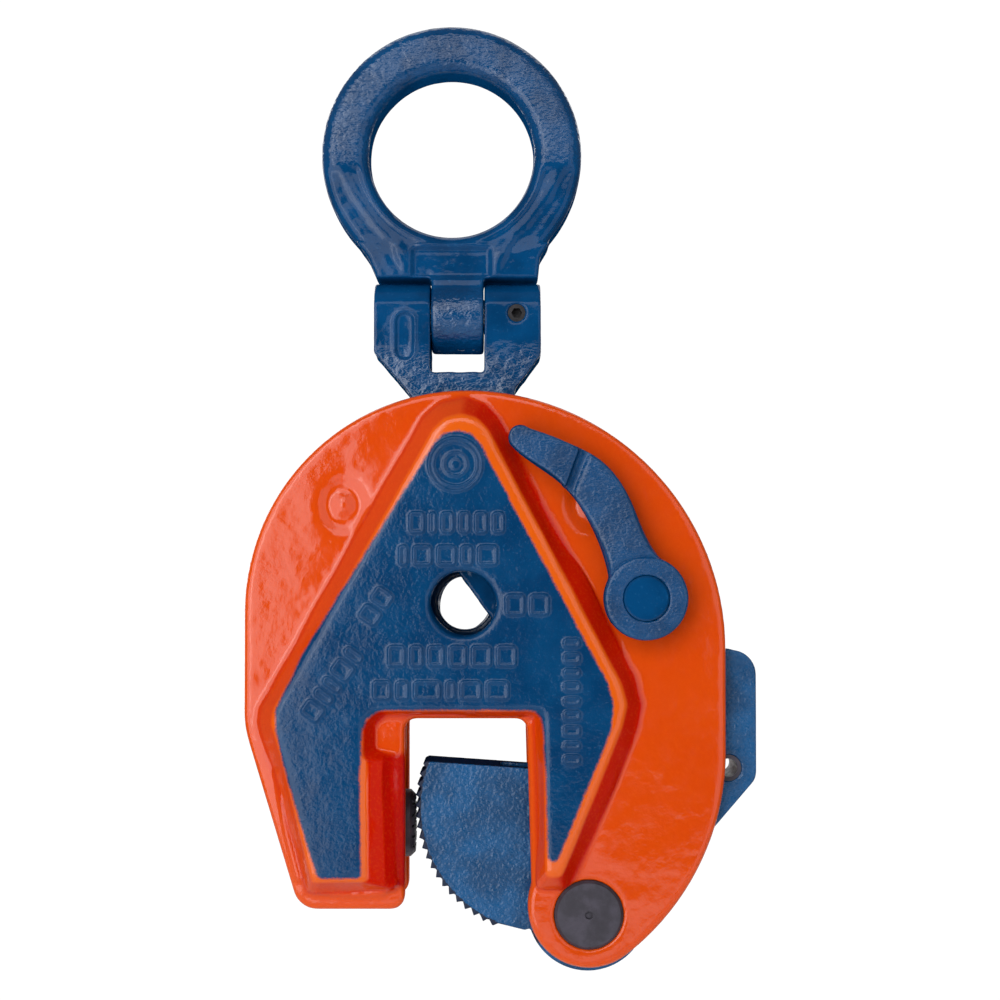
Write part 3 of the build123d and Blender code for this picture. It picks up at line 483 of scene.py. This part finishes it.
PLATE_PAINT = plate_paint()
# The lock pin is darker than the other blackened steel: partly its own black finish, partly painted shade
# standing for its deep hollow.
PIN_BLACK_AND_SHADE = steel("pin_black_and_shade", srgb(46, 44, 48), srgb(20, 19, 22), 0.9, 0.5, 0.012, metal=0.35)
LEVER_PAINT = blue_paint("lever_paint", 0.20, 0.30, 0.9, 0.12)

# ---- Housing plates ------------------------------------------------------------------------

# Middle line of the blue field's outline: the field reaches BLUE_ROUND beyond it.
BLUE_ROUND = 1.2
BLUE_APEX = (1.56, -70.8)
BLUE_APEX_R = 4.8
BLUE_APEX_TURNS = (150, 120, 90, 60, 30)  # degrees, from left to right over the rounded top
BLUE_OUTLINE = [
    (
        BLUE_APEX[0] + BLUE_APEX_R * math.cos(math.radians(angle)),
        BLUE_APEX[1] + BLUE_APEX_R * math.sin(math.radians(angle)),
    )
    for angle in BLUE_APEX_TURNS
] + [
    (30.0, -114.2),
    (34.0, -121.6),
    (35.1, -126.0),
    (34.7, -131.4),
    (26.3, -151.6),
    (23.0, -159.4),
    (22.6, -142.7),
    (21.9, -131.5),
    (21.3, -128.4),
    (19.5, -126.4),
    (17.0, -126.0),
    (-14.0, -126.0),
    (-16.4, -126.4),
    (-19.4, -128.5),
    (-20.7, -131.5),
    (-21.2, -142.7),
    (-20.9, -163.2),
    (-28.4, -163.2),
    (-34.8, -142.9),
    (-37.5, -131.7),
    (-37.6, -127.4),
    (-31.3, -114.2),
]
SIGHT = (2.9, -103.5)  # middle of the sight hole
SIGHT_R = 7.3
SIGHT_COLLAR = 1.6  # blue also covers the sight hole's wall and a ring this wide
BLUE_REACH = 3.0  # distances to the blue field's edge are stored up to this

MEDALLION = (1.2, -72.4)
MEDALLION_R = 5.9
MEDALLION_BAND = 1.0  # from its outer to its middle ring
MEDALLION_INNER_R = 2.6
MEDALLION_MARGIN = 1.0  # the mesh is finer this far outside the medallion
# Rows of blank raised tablets: middle x, middle z, tablet height, turn in degrees, tablet widths.
ROWS = [
    (1.5, -85.4, 4.9, 0.0, (3.6, 1.6, 3.0, 2.6, 3.0, 2.8)),
    (-0.4, -92.7, 4.7, 0.0, (2.2, 4.4, 4.4, 2.8, 4.6)),
    (17.2, -103.7, 4.9, 0.0, (4.5, 4.5)),
    (-16.4, -104.0, 4.6, 56.0, (3.8, 3.8)),
    (0.5, -115.1, 4.9, 0.0, (4.0, 3.0, 3.8, 4.0, 4.6, 4.6)),
    (-2.0, -122.7, 4.4, 0.0, (4.2, 3.0, 6.2, 2.2, 4.9, 5.2)),
    (-26.2, -121.4, 4.7, 54.0, (4.0, 2.2, 2.2, 4.0, 2.2)),
    (27.1, -125.2, 4.0, 90.0, (2.4, 2.0, 2.6, 2.4, 2.0, 2.4, 2.0, 2.6, 2.2)),
]
TABLET_GAP = 0.95
TABLET_CORNER = 1.0
TABLET_RISE = 0.34
RIM_INSET = 0.35  # a tablet's raised rim line lies this far inside its outline
RIM_WIDTH = 0.36
FINE_REACH = 0.9  # the mesh is finer this close to a rim line


def tablets():
    """Each blank tablet: middle x, middle z, half width, half height, turn."""
    places = []
    for x, z, height, turn, widths in ROWS:
        along = -(sum(widths) + TABLET_GAP * (len(widths) - 1)) / 2
        c, s = math.cos(math.radians(turn)), math.sin(math.radians(turn))
        for width in widths:
            middle = along + width / 2
            places.append((x + middle * c, z + middle * s, width / 2, height / 2, turn))
            along += width + TABLET_GAP
    return places


TABLETS = tablets()


def bar_distance(x, z, bar, corner):
    """Signed distance to the outline of a bar with rounded corners."""
    bx, bz, half_length, half_height, turn = bar
    c, s = math.cos(math.radians(turn)), math.sin(math.radians(turn))
    u = (x - bx) * c + (z - bz) * s
    v = -(x - bx) * s + (z - bz) * c
    corner = min(corner, half_length, half_height)
    du = np.abs(u) - (half_length - corner)
    dv = np.abs(v) - (half_height - corner)
    outside = np.hypot(np.maximum(du, 0), np.maximum(dv, 0))
    return outside + np.minimum(np.maximum(du, dv), 0) - corner


def marks_relief(x, z):
    """Rise of the blank medallion and tablets above the raised face."""
    r = np.hypot(x - MEDALLION[0], z - MEDALLION[1])
    relief = 0.34 * ridge(r - MEDALLION_R, 0.34)
    relief += 0.30 * ridge(r - (MEDALLION_R - MEDALLION_BAND), 0.30)
    relief += 0.24 * ridge(r - MEDALLION_INNER_R, 0.34) + 0.2 * smooth_step(1.4, 0.9, r)
    for tablet in TABLETS:
        d = bar_distance(x, z, tablet, TABLET_CORNER)
        relief += TABLET_RISE * ridge(d + RIM_INSET, RIM_WIDTH) + 0.08 * smooth_step(-0.3, -0.8, d)
    return relief


def near_marks(co, side):
    """Which points lie on the raised face close to the lines of a mark."""
    x, z = co[:, 0], co[:, 2]
    near = np.hypot(x - MEDALLION[0], z - MEDALLION[1]) < MEDALLION_R + MEDALLION_MARGIN
    for tablet in TABLETS:
        near |= np.abs(bar_distance(x, z, tablet, TABLET_CORNER) + RIM_INSET) < FINE_REACH
    return near & (co[:, 1] * side > PLATEAU_Y - 0.6)


PLATE_VOXEL = 0.46
PLATE_ROUNDING = 4  # relaxing steps for the whole plate
FACE_ROUNDING = 7  # and further ones for its raised part
DIMPLES = [(-24.1, -81.3), (31.4, -81.3)]
DIMPLE_R = 3.4  # radius of the trough round a dimple's low boss
DIMPLE_SQUEEZE = 0.85  # below 1, a dimple is taller than wide
FOOT_RIDGE = [(-30.0, -167.9), (-22.0, -168.4), (-15.2, -168.2), (-12.2, -166.0)]
EDGE_RIDGE = [(-39.4, -141.0), (-36.6, -155.0), (-34.0, -165.0)]
# The thick flank beside the slot: a shelf next to the blue, then a steep fall to the slot.
FLANK_X = [-19.6, -17.0, -14.9, -13.2, -10.9]
FLANK_RISE = [0.0, 0.9, 1.55, 0.9, 0.0]
WALL_SWAY = 0.9  # most that the wall between flange and raised face wanders
SWAY_SIZE = 11.0
WALL_DULL = 0.85  # share of its gloss that a wall facing right loses


def leg_relief(x, z):
    """Forging ridges and paint build-up on the two legs."""
    rise = 0.7 * ridge(path_distance(x, z, FOOT_RIDGE), 0.8)
    rise += 0.5 * ridge(path_distance(x, z, EDGE_RIDGE), 0.6)
    flank = smooth_step(-136.4, -138.4, z) * smooth_step(-168.2, -166.2, z)
    rise += flank * np.interp(x, FLANK_X, FLANK_RISE)
    return rise


def blue_depth(x, z):
    """How far inside the blue field a point lies, negative outside."""
    field = BLUE_ROUND - outline_distance(x, z, BLUE_OUTLINE)
    collar = SIGHT_R + SIGHT_COLLAR - np.hypot(x - SIGHT[0], z - SIGHT[1])
    return np.clip(np.maximum(field, collar), -BLUE_REACH, BLUE_REACH)


def housing_plate(node, side, seed, marked):
    """One half of the housing as a painted forging, with the blank marks on it if it is marked."""
    mesh = even_mesh(cad_copy(node), PLATE_VOXEL)
    relax(mesh, PLATE_ROUNDING)
    raised = smooth_step(FLANGE_Y - 0.4, FLANGE_Y + 0.6, points_of(mesh)[:, 1] * side)
    relax(mesh, FACE_ROUNDING, raised)
    if marked:
        refine(mesh, lambda points: near_marks(points, side))
    co = points_of(mesh)
    normals = normals_of(mesh)
    facing = np.clip(normals[:, 1] * side, 0.0, 1.0)
    outward = co[:, 1] * side
    x, z = co[:, 0].copy(), co[:, 2].copy()
    on_face = smooth_step(PLATEAU_Y - 0.9, PLATEAU_Y - 0.3, outward)
    on_flange = smooth_step(FLANGE_Y + 1.2, FLANGE_Y + 0.5, outward) * facing
    on_wall = (1.0 - on_face) * smooth_step(FLANGE_Y + 0.15, FLANGE_Y + 0.5, outward)
    foot = ridge(outward - (FLANGE_Y + 0.45), 0.45) * (facing > 0.3)
    # The wall between flange and raised face wanders a little, as a worn die leaves it.
    sway = smooth_step(FLANGE_Y - 0.2, FLANGE_Y + 0.6, outward)
    sway *= smooth_step(PLATEAU_Y - 0.2, FLANGE_Y + 1.0, outward)
    co[:, 0] += sway * WALL_SWAY * lumps(co, SWAY_SIZE, seed)
    co[:, 2] += sway * WALL_SWAY * lumps(co, SWAY_SIZE, seed + 1)
    rise = on_flange * (0.20 * lumps(co, 15.0, seed + 2) + 0.05 * lumps(co, 5.0, seed + 5))
    rise += on_wall * facing * 0.18 * lumps(co, 4.0, seed + 3)
    rise += facing * 0.02 * lumps(co, 1.6, seed + 4)
    for dimple in DIMPLES:
        r = np.hypot(x - dimple[0], (z - dimple[1]) * DIMPLE_SQUEEZE)
        cup = -0.75 * ridge(r - DIMPLE_R, 1.9) + 0.16 * ridge(r, 1.6)
        rise += on_flange * cup
    rise += facing * (1.0 - on_face) * leg_relief(x, z)
    if marked:
        rise += on_face * facing * marks_relief(x, z)
    co[:, 1] += side * rise
    set_points(mesh, co)
    # Painted shade: the orange is darkened towards deep red on the walls, most on those that face right,
    # in the crease at each wall's foot and down the flank beside the slot.
    rightward = smooth_step(-0.1, 0.3, normals[:, 0])
    on_flank = smooth_step(-15.4, -14.6, x) * (x < 0.0)
    on_flank = on_flank * smooth_step(-136.0, -138.0, z) * smooth_step(-168.0, -166.0, z)
    painted_shade = np.maximum(on_wall * (0.36 + 0.56 * rightward), foot * (0.6 + 0.4 * rightward))
    painted_shade = np.maximum(painted_shade, on_flank * (facing > 0.1))
    attribute(mesh, "blue_mm", blue_depth(x, z))
    attribute(mesh, "painted_shade", painted_shade)
    attribute(mesh, "thin", 0.5 * on_face * facing)
    dull = WALL_DULL * on_wall * rightward
    finish_piece(mesh, node + "_forging", "housing", [node], PLATE_PAINT, dull)


# ---- Other forgings ------------------------------------------------------------------------

FINE_LUMP = 1.5
BROAD_LUMP = 8.0
BROAD_DEPTH = 2.5  # broad lumps are this many times as deep as fine ones


def forged(node, voxel, rounding, skin, seed, relief=None, shape=None):
    """A CAD node as a rounded forging with an uneven skin and optional relief along its normals."""
    mesh = even_mesh(cad_copy(node), voxel)
    if shape:
        co = points_of(mesh)
        set_points(mesh, co + shape(co, normals_of(mesh)))
    relax(mesh, rounding)
    co = points_of(mesh)
    normals = normals_of(mesh)
    rise = skin * lumps(co, FINE_LUMP, seed) + BROAD_DEPTH * skin * lumps(co, BROAD_LUMP, seed + 1)
    if relief:
        rise += relief(co, normals)
    set_points(mesh, co + normals * rise[:, None])
    return mesh


# Ridges that sweep from the ring down into the shank, on the right half; the left mirrors them.
INNER_SWEEP = [(25.6, -2.6), (22.2, -9.2), (17.0, -16.2), (12.4, -20.8), (10.6, -26.8)]
OUTER_SWEEP = [(27.6, -5.0), (25.4, -11.6), (20.4, -18.8), (15.4, -23.6), (13.2, -27.6)]
PANEL_TOP = -21.2  # upper edge of the shank's sunk panel


def eye_relief(co, normals):
    """Where the round ring blends into the flat shank: swept ridges, a hollow and a sunk panel."""
    x, z = np.abs(co[:, 0]), co[:, 2]
    flat = smooth_step(0.45, 0.85, np.abs(normals[:, 1]))
    r = np.hypot(co[:, 0], z)
    low = smooth_step(-2.2, -4.6, z)
    hollow = low * smooth_step(29.6, 27.4, r) * smooth_step(20.6, 22.2, r)
    hollow = hollow * smooth_step(-23.6, -19.0, z)
    rise = -0.6 * hollow
    rise += 0.34 * ridge(path_distance(x, z, INNER_SWEEP), 1.5) * low
    rise += 0.16 * ridge(path_distance(x, z, OUTER_SWEEP), 1.2) * low
    panel = smooth_step(9.6, 8.2, x) * smooth_step(PANEL_TOP, -22.6, z) * smooth_step(-29.4, -28.0, z)
    rise -= 0.8 * panel
    rise += 0.3 * ridge(z - PANEL_TOP, 0.7) * smooth_step(9.0, 7.0, x)
    return rise * flat


# The blank oblong on the left ear: middle x, middle z, half length, half width, turn in degrees.
EAR_MARK = (-10.6, -42.3, 5.4, 2.1, 90.0)
EAR_LIP = 0.35  # its raised lip lies this far outside it


def shackle_relief(co, normals):
    """Raised lip round the blank oblong on the left ear, and hammer marks lower down."""
    x, z = co[:, 0], co[:, 2]
    front = smooth_step(0.5, 0.9, -normals[:, 1])
    lip = ridge(bar_distance(x, z, EAR_MARK, EAR_MARK[3]) - EAR_LIP, 0.4)
    lower = smooth_step(-41.0, -47.0, z)
    return front * 0.22 * lip + lower * (0.10 * lumps(co, 1.7, 77) + 0.04 * lumps(co, 0.9, 79))


LEVER_ARM_Y = 19.2  # from the middle plane to the arm's front face
LEVER_HUB_Y = 20.4
LEVER_HUB_R = 9.3
LEVER_SWELL = 17.0  # the arm starts to rise this far outside the hub
LEVER_FACE_BAND = 0.3  # points this close to the arm's front level belong to its face
LEVER_GROOVE = [(30.6, -69.6), (26.9, -79.0)]


def lever_shape(co, normals):
    """The arm swells up to the hub's level, so no step shows between them."""
    r = np.hypot(co[:, 0] - LEVER_HUB[0], co[:, 2] - LEVER_HUB[2])
    front = (normals[:, 1] < -0.7) * (r > LEVER_HUB_R)
    front = front * (co[:, 1] < LEVER_FACE_BAND - LEVER_ARM_Y)
    front = front * (co[:, 1] > -LEVER_FACE_BAND - LEVER_ARM_Y)
    swell = smooth_step(LEVER_HUB_R + LEVER_SWELL, LEVER_HUB_R - 4.0, r)
    move = np.zeros_like(co)
    move[:, 1] = front * (LEVER_ARM_Y - LEVER_HUB_Y) * swell
    return move


def lever_relief(co, normals):
    """A groove where the thumb tab meets the arm."""
    front = smooth_step(0.6, 0.95, -normals[:, 1])
    groove = ridge(path_distance(co[:, 0], co[:, 2], LEVER_GROOVE), 0.8)
    return front * (0.03 * lumps(co, 0.9, 31) - 0.6 * groove)


def cam_relief(co, normals):
    """A fine roughness on the cam's two sides."""
    sides = smooth_step(0.6, 0.95, np.abs(normals[:, 1]))
    return sides * 0.02 * lumps(co, 1.1, 53)


TOOTH_CENTRE = (21.42, -149.6)
TOOTH_TIP_R = 29.5
TOOTH_ROOT_R = 28.3
TOOTH_START = 160.5  # degrees
TOOTH_PITCH = 4.76
TOOTH_PITCHES = 18.0  # the toothed arc ends after this many
TOOTH_ROOT_SHARE = 0.35  # the root lies this far along each pitch
TOOTH_REACH = 0.6  # points this close to the profile belong to it


def sharpen_teeth(mesh):
    """Puts the points on the toothed arc back on the saw profile that the even mesh blurred."""
    co = points_of(mesh)
    dx, dz = co[:, 0] - TOOTH_CENTRE[0], co[:, 2] - TOOTH_CENTRE[1]
    r = np.hypot(dx, dz)
    turn = (np.degrees(np.arctan2(dz, dx)) % 360.0 - TOOTH_START) / TOOTH_PITCH
    saw = ([0.0, TOOTH_ROOT_SHARE, 1.0], [TOOTH_TIP_R, TOOTH_ROOT_R, TOOTH_TIP_R])
    profile = np.interp(turn % 1.0, *saw)
    radial = np.abs(normals_of(mesh)[:, 1]) < 0.75
    on_arc = radial & (turn > 0.0) & (turn < TOOTH_PITCHES) & (np.abs(r - profile) < TOOTH_REACH)
    share = np.where(on_arc, profile / np.maximum(r, 1.0), 1.0)
    co[:, 0] = TOOTH_CENTRE[0] + dx * share
    co[:, 2] = TOOTH_CENTRE[1] + dz * share
    set_points(mesh, co)


def bare_steel(co, normals):
    """Where the cam has no paint left: on its teeth and on the cut face above them."""
    r = np.hypot(co[:, 0] - TOOTH_CENTRE[0], co[:, 2] - TOOTH_CENTRE[1])
    toothed = smooth_step(TOOTH_ROOT_R - 0.4, TOOTH_ROOT_R + 0.2, r)
    toothed = toothed * (co[:, 0] < 20.0) * (co[:, 2] > -182.0)
    cut = smooth_step(0.5, 0.8, normals[:, 2]) * (co[:, 0] < 30.0) * (np.abs(normals[:, 1]) < 0.6)
    return np.maximum(toothed, cut)


# How coarse the paint's skin is: where it is smooth, what the coarse stretches of eye and clevis
# add to that, and the whole value for the lever and for CAD nodes.
SMOOTH_SKIN = 0.12
RING_SKIN = 1.0
TONGUE_SKIN = 1.1
CLEVIS_SKIN = 1.1
LEVER_SKIN = 0.9
NODE_SKIN = 0.35


def eye_skin(z):
    """Coarse on the ring's upper half and the tongue, smooth on the shank between them."""
    ring = RING_SKIN * smooth_step(-5.0, 1.0, z)
    return SMOOTH_SKIN + ring + TONGUE_SKIN * smooth_step(-29.0, -34.0, z)


def shackle_skin(z):
    """Smooth ears, coarse below them, and smooth again inside the housing."""
    return SMOOTH_SKIN + CLEVIS_SKIN * smooth_step(-42.0, -48.0, z) * smooth_step(-64.0, -58.0, z)


def build_forgings():
    """Every forged piece. After its node, a forging has its voxel, rounding steps, skin and seed."""
    housing_plate("front_plate", FRONT, 11, True)
    housing_plate("back_plate", BACK, 23, False)
    blue = FINISHES["blue_paint"]
    mesh = forged("eye", 0.42, 5, 0.02, 41, eye_relief)
    attribute(mesh, "skin", eye_skin(points_of(mesh)[:, 2]))
    finish_piece(mesh, "eye_forging", "eye", ["eye"], blue)
    mesh = forged("shackle", 0.4, 4, 0.02, 43, shackle_relief)
    attribute(mesh, "skin", shackle_skin(points_of(mesh)[:, 2]))
    finish_piece(mesh, "shackle_forging", "shackle", ["shackle"], blue)
    mesh = forged("lever", 0.25, 16, 0.015, 47, lever_relief, lever_shape)
    attribute(mesh, "skin", np.full(len(mesh.vertices), LEVER_SKIN))
    finish_piece(mesh, "lever_forging", "lever", ["lever"], LEVER_PAINT)
    mesh = forged("cam", 0.27, 1, 0.008, 51, cam_relief)
    sharpen_teeth(mesh)
    attribute(mesh, "bare", bare_steel(points_of(mesh), normals_of(mesh)))
    finish_piece(mesh, "cam_forging", "cam", ["cam"], FINISHES["cam_paint"])
    for node, seed in (("rim_bands", 61), ("jaw_block", 63)):
        mesh = forged(node, 0.5, 3, 0.02, seed)
        orange = FINISHES["orange_paint"]
        finish_piece(mesh, node + "_forging", "housing", [node], orange)


# ---- Spring --------------------------------------------------------------------------------

WIRE_R = 0.65
COIL_R = 3.05
COIL_TURNS = 19
TURN_STEPS = 20
HOOK_REACH = 6.0  # from a hook's middle to the first coil
HOOK_R = 4.0
HOOK_ARC = 250  # degrees
HOOK_STEPS = 14


def hook_arc(middle, outward, across, steps):
    """Points round a hook: the numbers in steps count from the side that faces the coil."""
    points = []
    reach = HOOK_R * MM
    for i in steps:
        a = math.radians(HOOK_ARC * i / HOOK_STEPS)
        points.append(middle + outward * (reach * math.cos(math.pi - a)) + across * (reach * math.sin(a)))
    return points


def tension_spring():
    """A close-wound coil with a hook at each end, from the post to the cam's tail pin."""
    start, end = Vector(POST * MM), Vector(TAIL * MM)
    start.y = end.y = 0.0
    along = (end - start).normalized()
    side = Vector((0.0, 1.0, 0.0))
    across = along.cross(side)
    length = (end - start).length
    hook = HOOK_REACH * MM
    steps = COIL_TURNS * TURN_STEPS
    points = hook_arc(start, -along, across, range(HOOK_STEPS, -1, -1))
    for i in range(steps + 1):
        t = i / steps
        a = 2 * math.pi * COIL_TURNS * t + math.pi / 2
        centre = start + along * (hook + (length - 2 * hook) * t)
        points.append(centre + (across * math.sin(a) + side * math.cos(a)) * (COIL_R * MM))
    points += hook_arc(end, along, across, range(HOOK_STEPS + 1))
    curve = bpy.data.curves.new("spring_wire", "CURVE")
    curve.dimensions = "3D"
    curve.bevel_depth = WIRE_R * MM
    curve.bevel_resolution = 3
    curve.use_fill_caps = True
    spline = curve.splines.new("POLY")
    spline.points.add(len(points) - 1)
    for point, place in zip(spline.points, points):
        point.co = (*place, 1.0)
    holder = bpy.data.objects.new("holder", curve)
    bpy.context.scene.collection.objects.link(holder)
    mesh = baked_mesh(holder)
    mesh.materials.clear()
    mesh.materials.append(FINISHES["spring_steel"])
    for polygon in mesh.polygons:
        polygon.use_smooth = True
    piece = bpy.data.objects.new("tension_spring_coil", mesh)
    bpy.context.scene.collection.objects.link(piece)
    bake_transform(piece)
    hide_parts("tension_spring")


# ---- Carried-over CAD nodes ------------------------------------------------------------------


def dress_nodes():
    """Gives each CAD node that stays visible the finish of its record slot."""
    slots = {row["node"]: row["material_slot"] for row in frame["record"]["subparts"]}
    for name, node in frame["nodes"].items():
        if node.hide_render:
            continue
        mark_sheen(node.data)
        attribute(node.data, "skin", np.full(len(node.data.vertices), NODE_SKIN))
        node.data.materials.clear()
        node.data.materials.append(PIN_BLACK_AND_SHADE if name == "hinge_lock_pin" else FINISHES[slots[name]])


# ---- Stage -----------------------------------------------------------------------------------

CAMERA_DISTANCE = 0.420  # from the camera to the middle plane
AXIS_X = 0.01004
AXIS_Z = -0.1004
LENS = 65.2
SHIFT = (0.005, 0.045)
TILT = math.radians(1.42)
NEAR_CLIP = 0.01
FLOOR_Z = -0.30
FLOOR_R = 0.45
FLOOR_SEGMENTS = 96
FLOOR_SHADES = ((0.86, 0.86, 0.86, 1.0), (0.90, 0.90, 0.90, 1.0))
FLOOR_CLOUD = 400.0  # size of the floor's faint clouds, in millimetres
TENT_Y = 0.84  # the light tent's panels hang this far in front of and behind the object
CORE_Y = 0.83  # a brighter strip hangs just inside the left panel
WHITE = (1.0, 1.0, 1.0, 1.0)


def light_panel(name, size, place, turn, radiance):
    """A flat light of this width and height; turned 0 it shines down, 90 towards +Y, -90 towards -Y."""
    data = bpy.data.lights.new(name, "AREA")
    data.shape = "RECTANGLE"
    data.size, data.size_y = size
    data.energy = math.pi * size[0] * size[1] * radiance
    light = bpy.data.objects.new(name, data)
    light.location = place
    light.rotation_euler = (math.radians(turn), 0.0, 0.0)
    light.visible_camera = False
    bpy.context.scene.collection.objects.link(light)


def softbox(name, x, z, y, radiance):
    """A light panel facing the object: x and z ranges, the plane y it hangs in, and its brightness."""
    place = ((x[0] + x[1]) / 2, y, (z[0] + z[1]) / 2)
    light_panel(name, (x[1] - x[0], z[1] - z[0]), place, 90 if y < 0 else -90, radiance)


def add_floor():
    """A plain pale disc."""
    mesh = bpy.data.meshes.new("floor")
    bm = bmesh.new()
    bmesh.ops.create_circle(bm, cap_ends=True, segments=FLOOR_SEGMENTS, radius=FLOOR_R)
    bm.to_mesh(mesh)
    bm.free()
    floor = bpy.data.objects.new("floor", mesh)
    floor.location = (0.0, 0.0, FLOOR_Z)
    bpy.context.scene.collection.objects.link(floor)
    pale = Finish("pale_floor", Roughness=0.9, Specular_IOR_Level=0.1)
    pale.colour(pale.mix(pale.noise(FLOOR_CLOUD), *FLOOR_SHADES))
    mesh.materials.append(pale.material)


def light_tent():
    """Bright panels round a dark opening in front, one overhead and two behind."""
    softbox("left_softbox", (-0.95, -0.115), (-0.60, 0.60), -TENT_Y, 2.45)
    softbox("left_core", (-0.36, -0.26), (-0.20, 0.50), -CORE_Y, 3.2)
    softbox("right_softbox", (0.24, 0.95), (-0.50, 0.60), -TENT_Y, 0.95)
    softbox("top_softbox", (-0.115, 0.19), (0.18, 0.60), -TENT_Y, 2.3)
    softbox("low_softbox", (-0.09, 0.19), (-0.65, -0.30), -TENT_Y, 1.2)
    light_panel("high_softbox", (1.2, 0.7), (0.0, 0.55, 0.95), 0, 1.2)
    softbox("rear_left_softbox", (-0.85, -0.25), (-0.20, 0.60), TENT_Y, 2.2)
    softbox("rear_right_softbox", (0.25, 0.85), (-0.20, 0.60), TENT_Y, 1.4)


def add_world():
    """Light that is white behind the object, grey round it and darker in front; seen as white."""
    world = bpy.data.worlds.new("world")
    bpy.context.scene.world = world
    world.use_nodes = True
    tree = world.node_tree
    place = tree.nodes.new("ShaderNodeTexCoord").outputs["Generated"]
    split = tree.nodes.new("ShaderNodeSeparateXYZ")
    tree.links.new(place, split.inputs["Vector"])

    def ramp(source, from_min, from_max, to_min, to_max):
        node = tree.nodes.new("ShaderNodeMapRange")
        node.interpolation_type = "SMOOTHSTEP"
        for socket, value in zip(node.inputs[1:5], (from_min, from_max, to_min, to_max)):
            socket.default_value = value
        tree.links.new(source, node.inputs["Value"])
        return node.outputs["Result"]

    def combine(operation, a, b):
        node = tree.nodes.new("ShaderNodeMath")
        node.operation = operation
        tree.links.new(a, node.inputs[0])
        tree.links.new(b, node.inputs[1])
        return node.outputs["Value"]

    behind = ramp(split.outputs["Y"], 0.72, 0.90, 0.16, 1.05)
    ahead = ramp(split.outputs["Y"], -0.2, -0.8, 0.0, -0.11)
    strength = combine("ADD", behind, ahead)
    # The camera sees the backdrop as white from every side, whatever light comes from there.
    seen = tree.nodes.new("ShaderNodeLightPath").outputs["Is Camera Ray"]
    background = tree.nodes["Background"]
    background.inputs["Color"].default_value = WHITE
    tree.links.new(combine("MAXIMUM", strength, seen), background.inputs["Strength"])


def add_camera():
    """A long lens square to the front, tilted a little up, as in the photograph."""
    camera_data = bpy.data.cameras.new("camera")
    camera_data.lens = LENS
    camera_data.shift_x, camera_data.shift_y = SHIFT
    camera_data.clip_start = NEAR_CLIP
    camera = bpy.data.objects.new("camera", camera_data)
    camera.location = (AXIS_X, -CAMERA_DISTANCE, AXIS_Z)
    camera.rotation_euler = (math.radians(90) + TILT, 0.0, 0.0)
    bpy.context.scene.collection.objects.link(camera)
    bpy.context.scene.camera = camera
    bpy.context.scene.view_settings.view_transform = "Standard"


build_forgings()
tension_spring()
dress_nodes()
add_floor()
light_tent()
add_world()
add_camera()
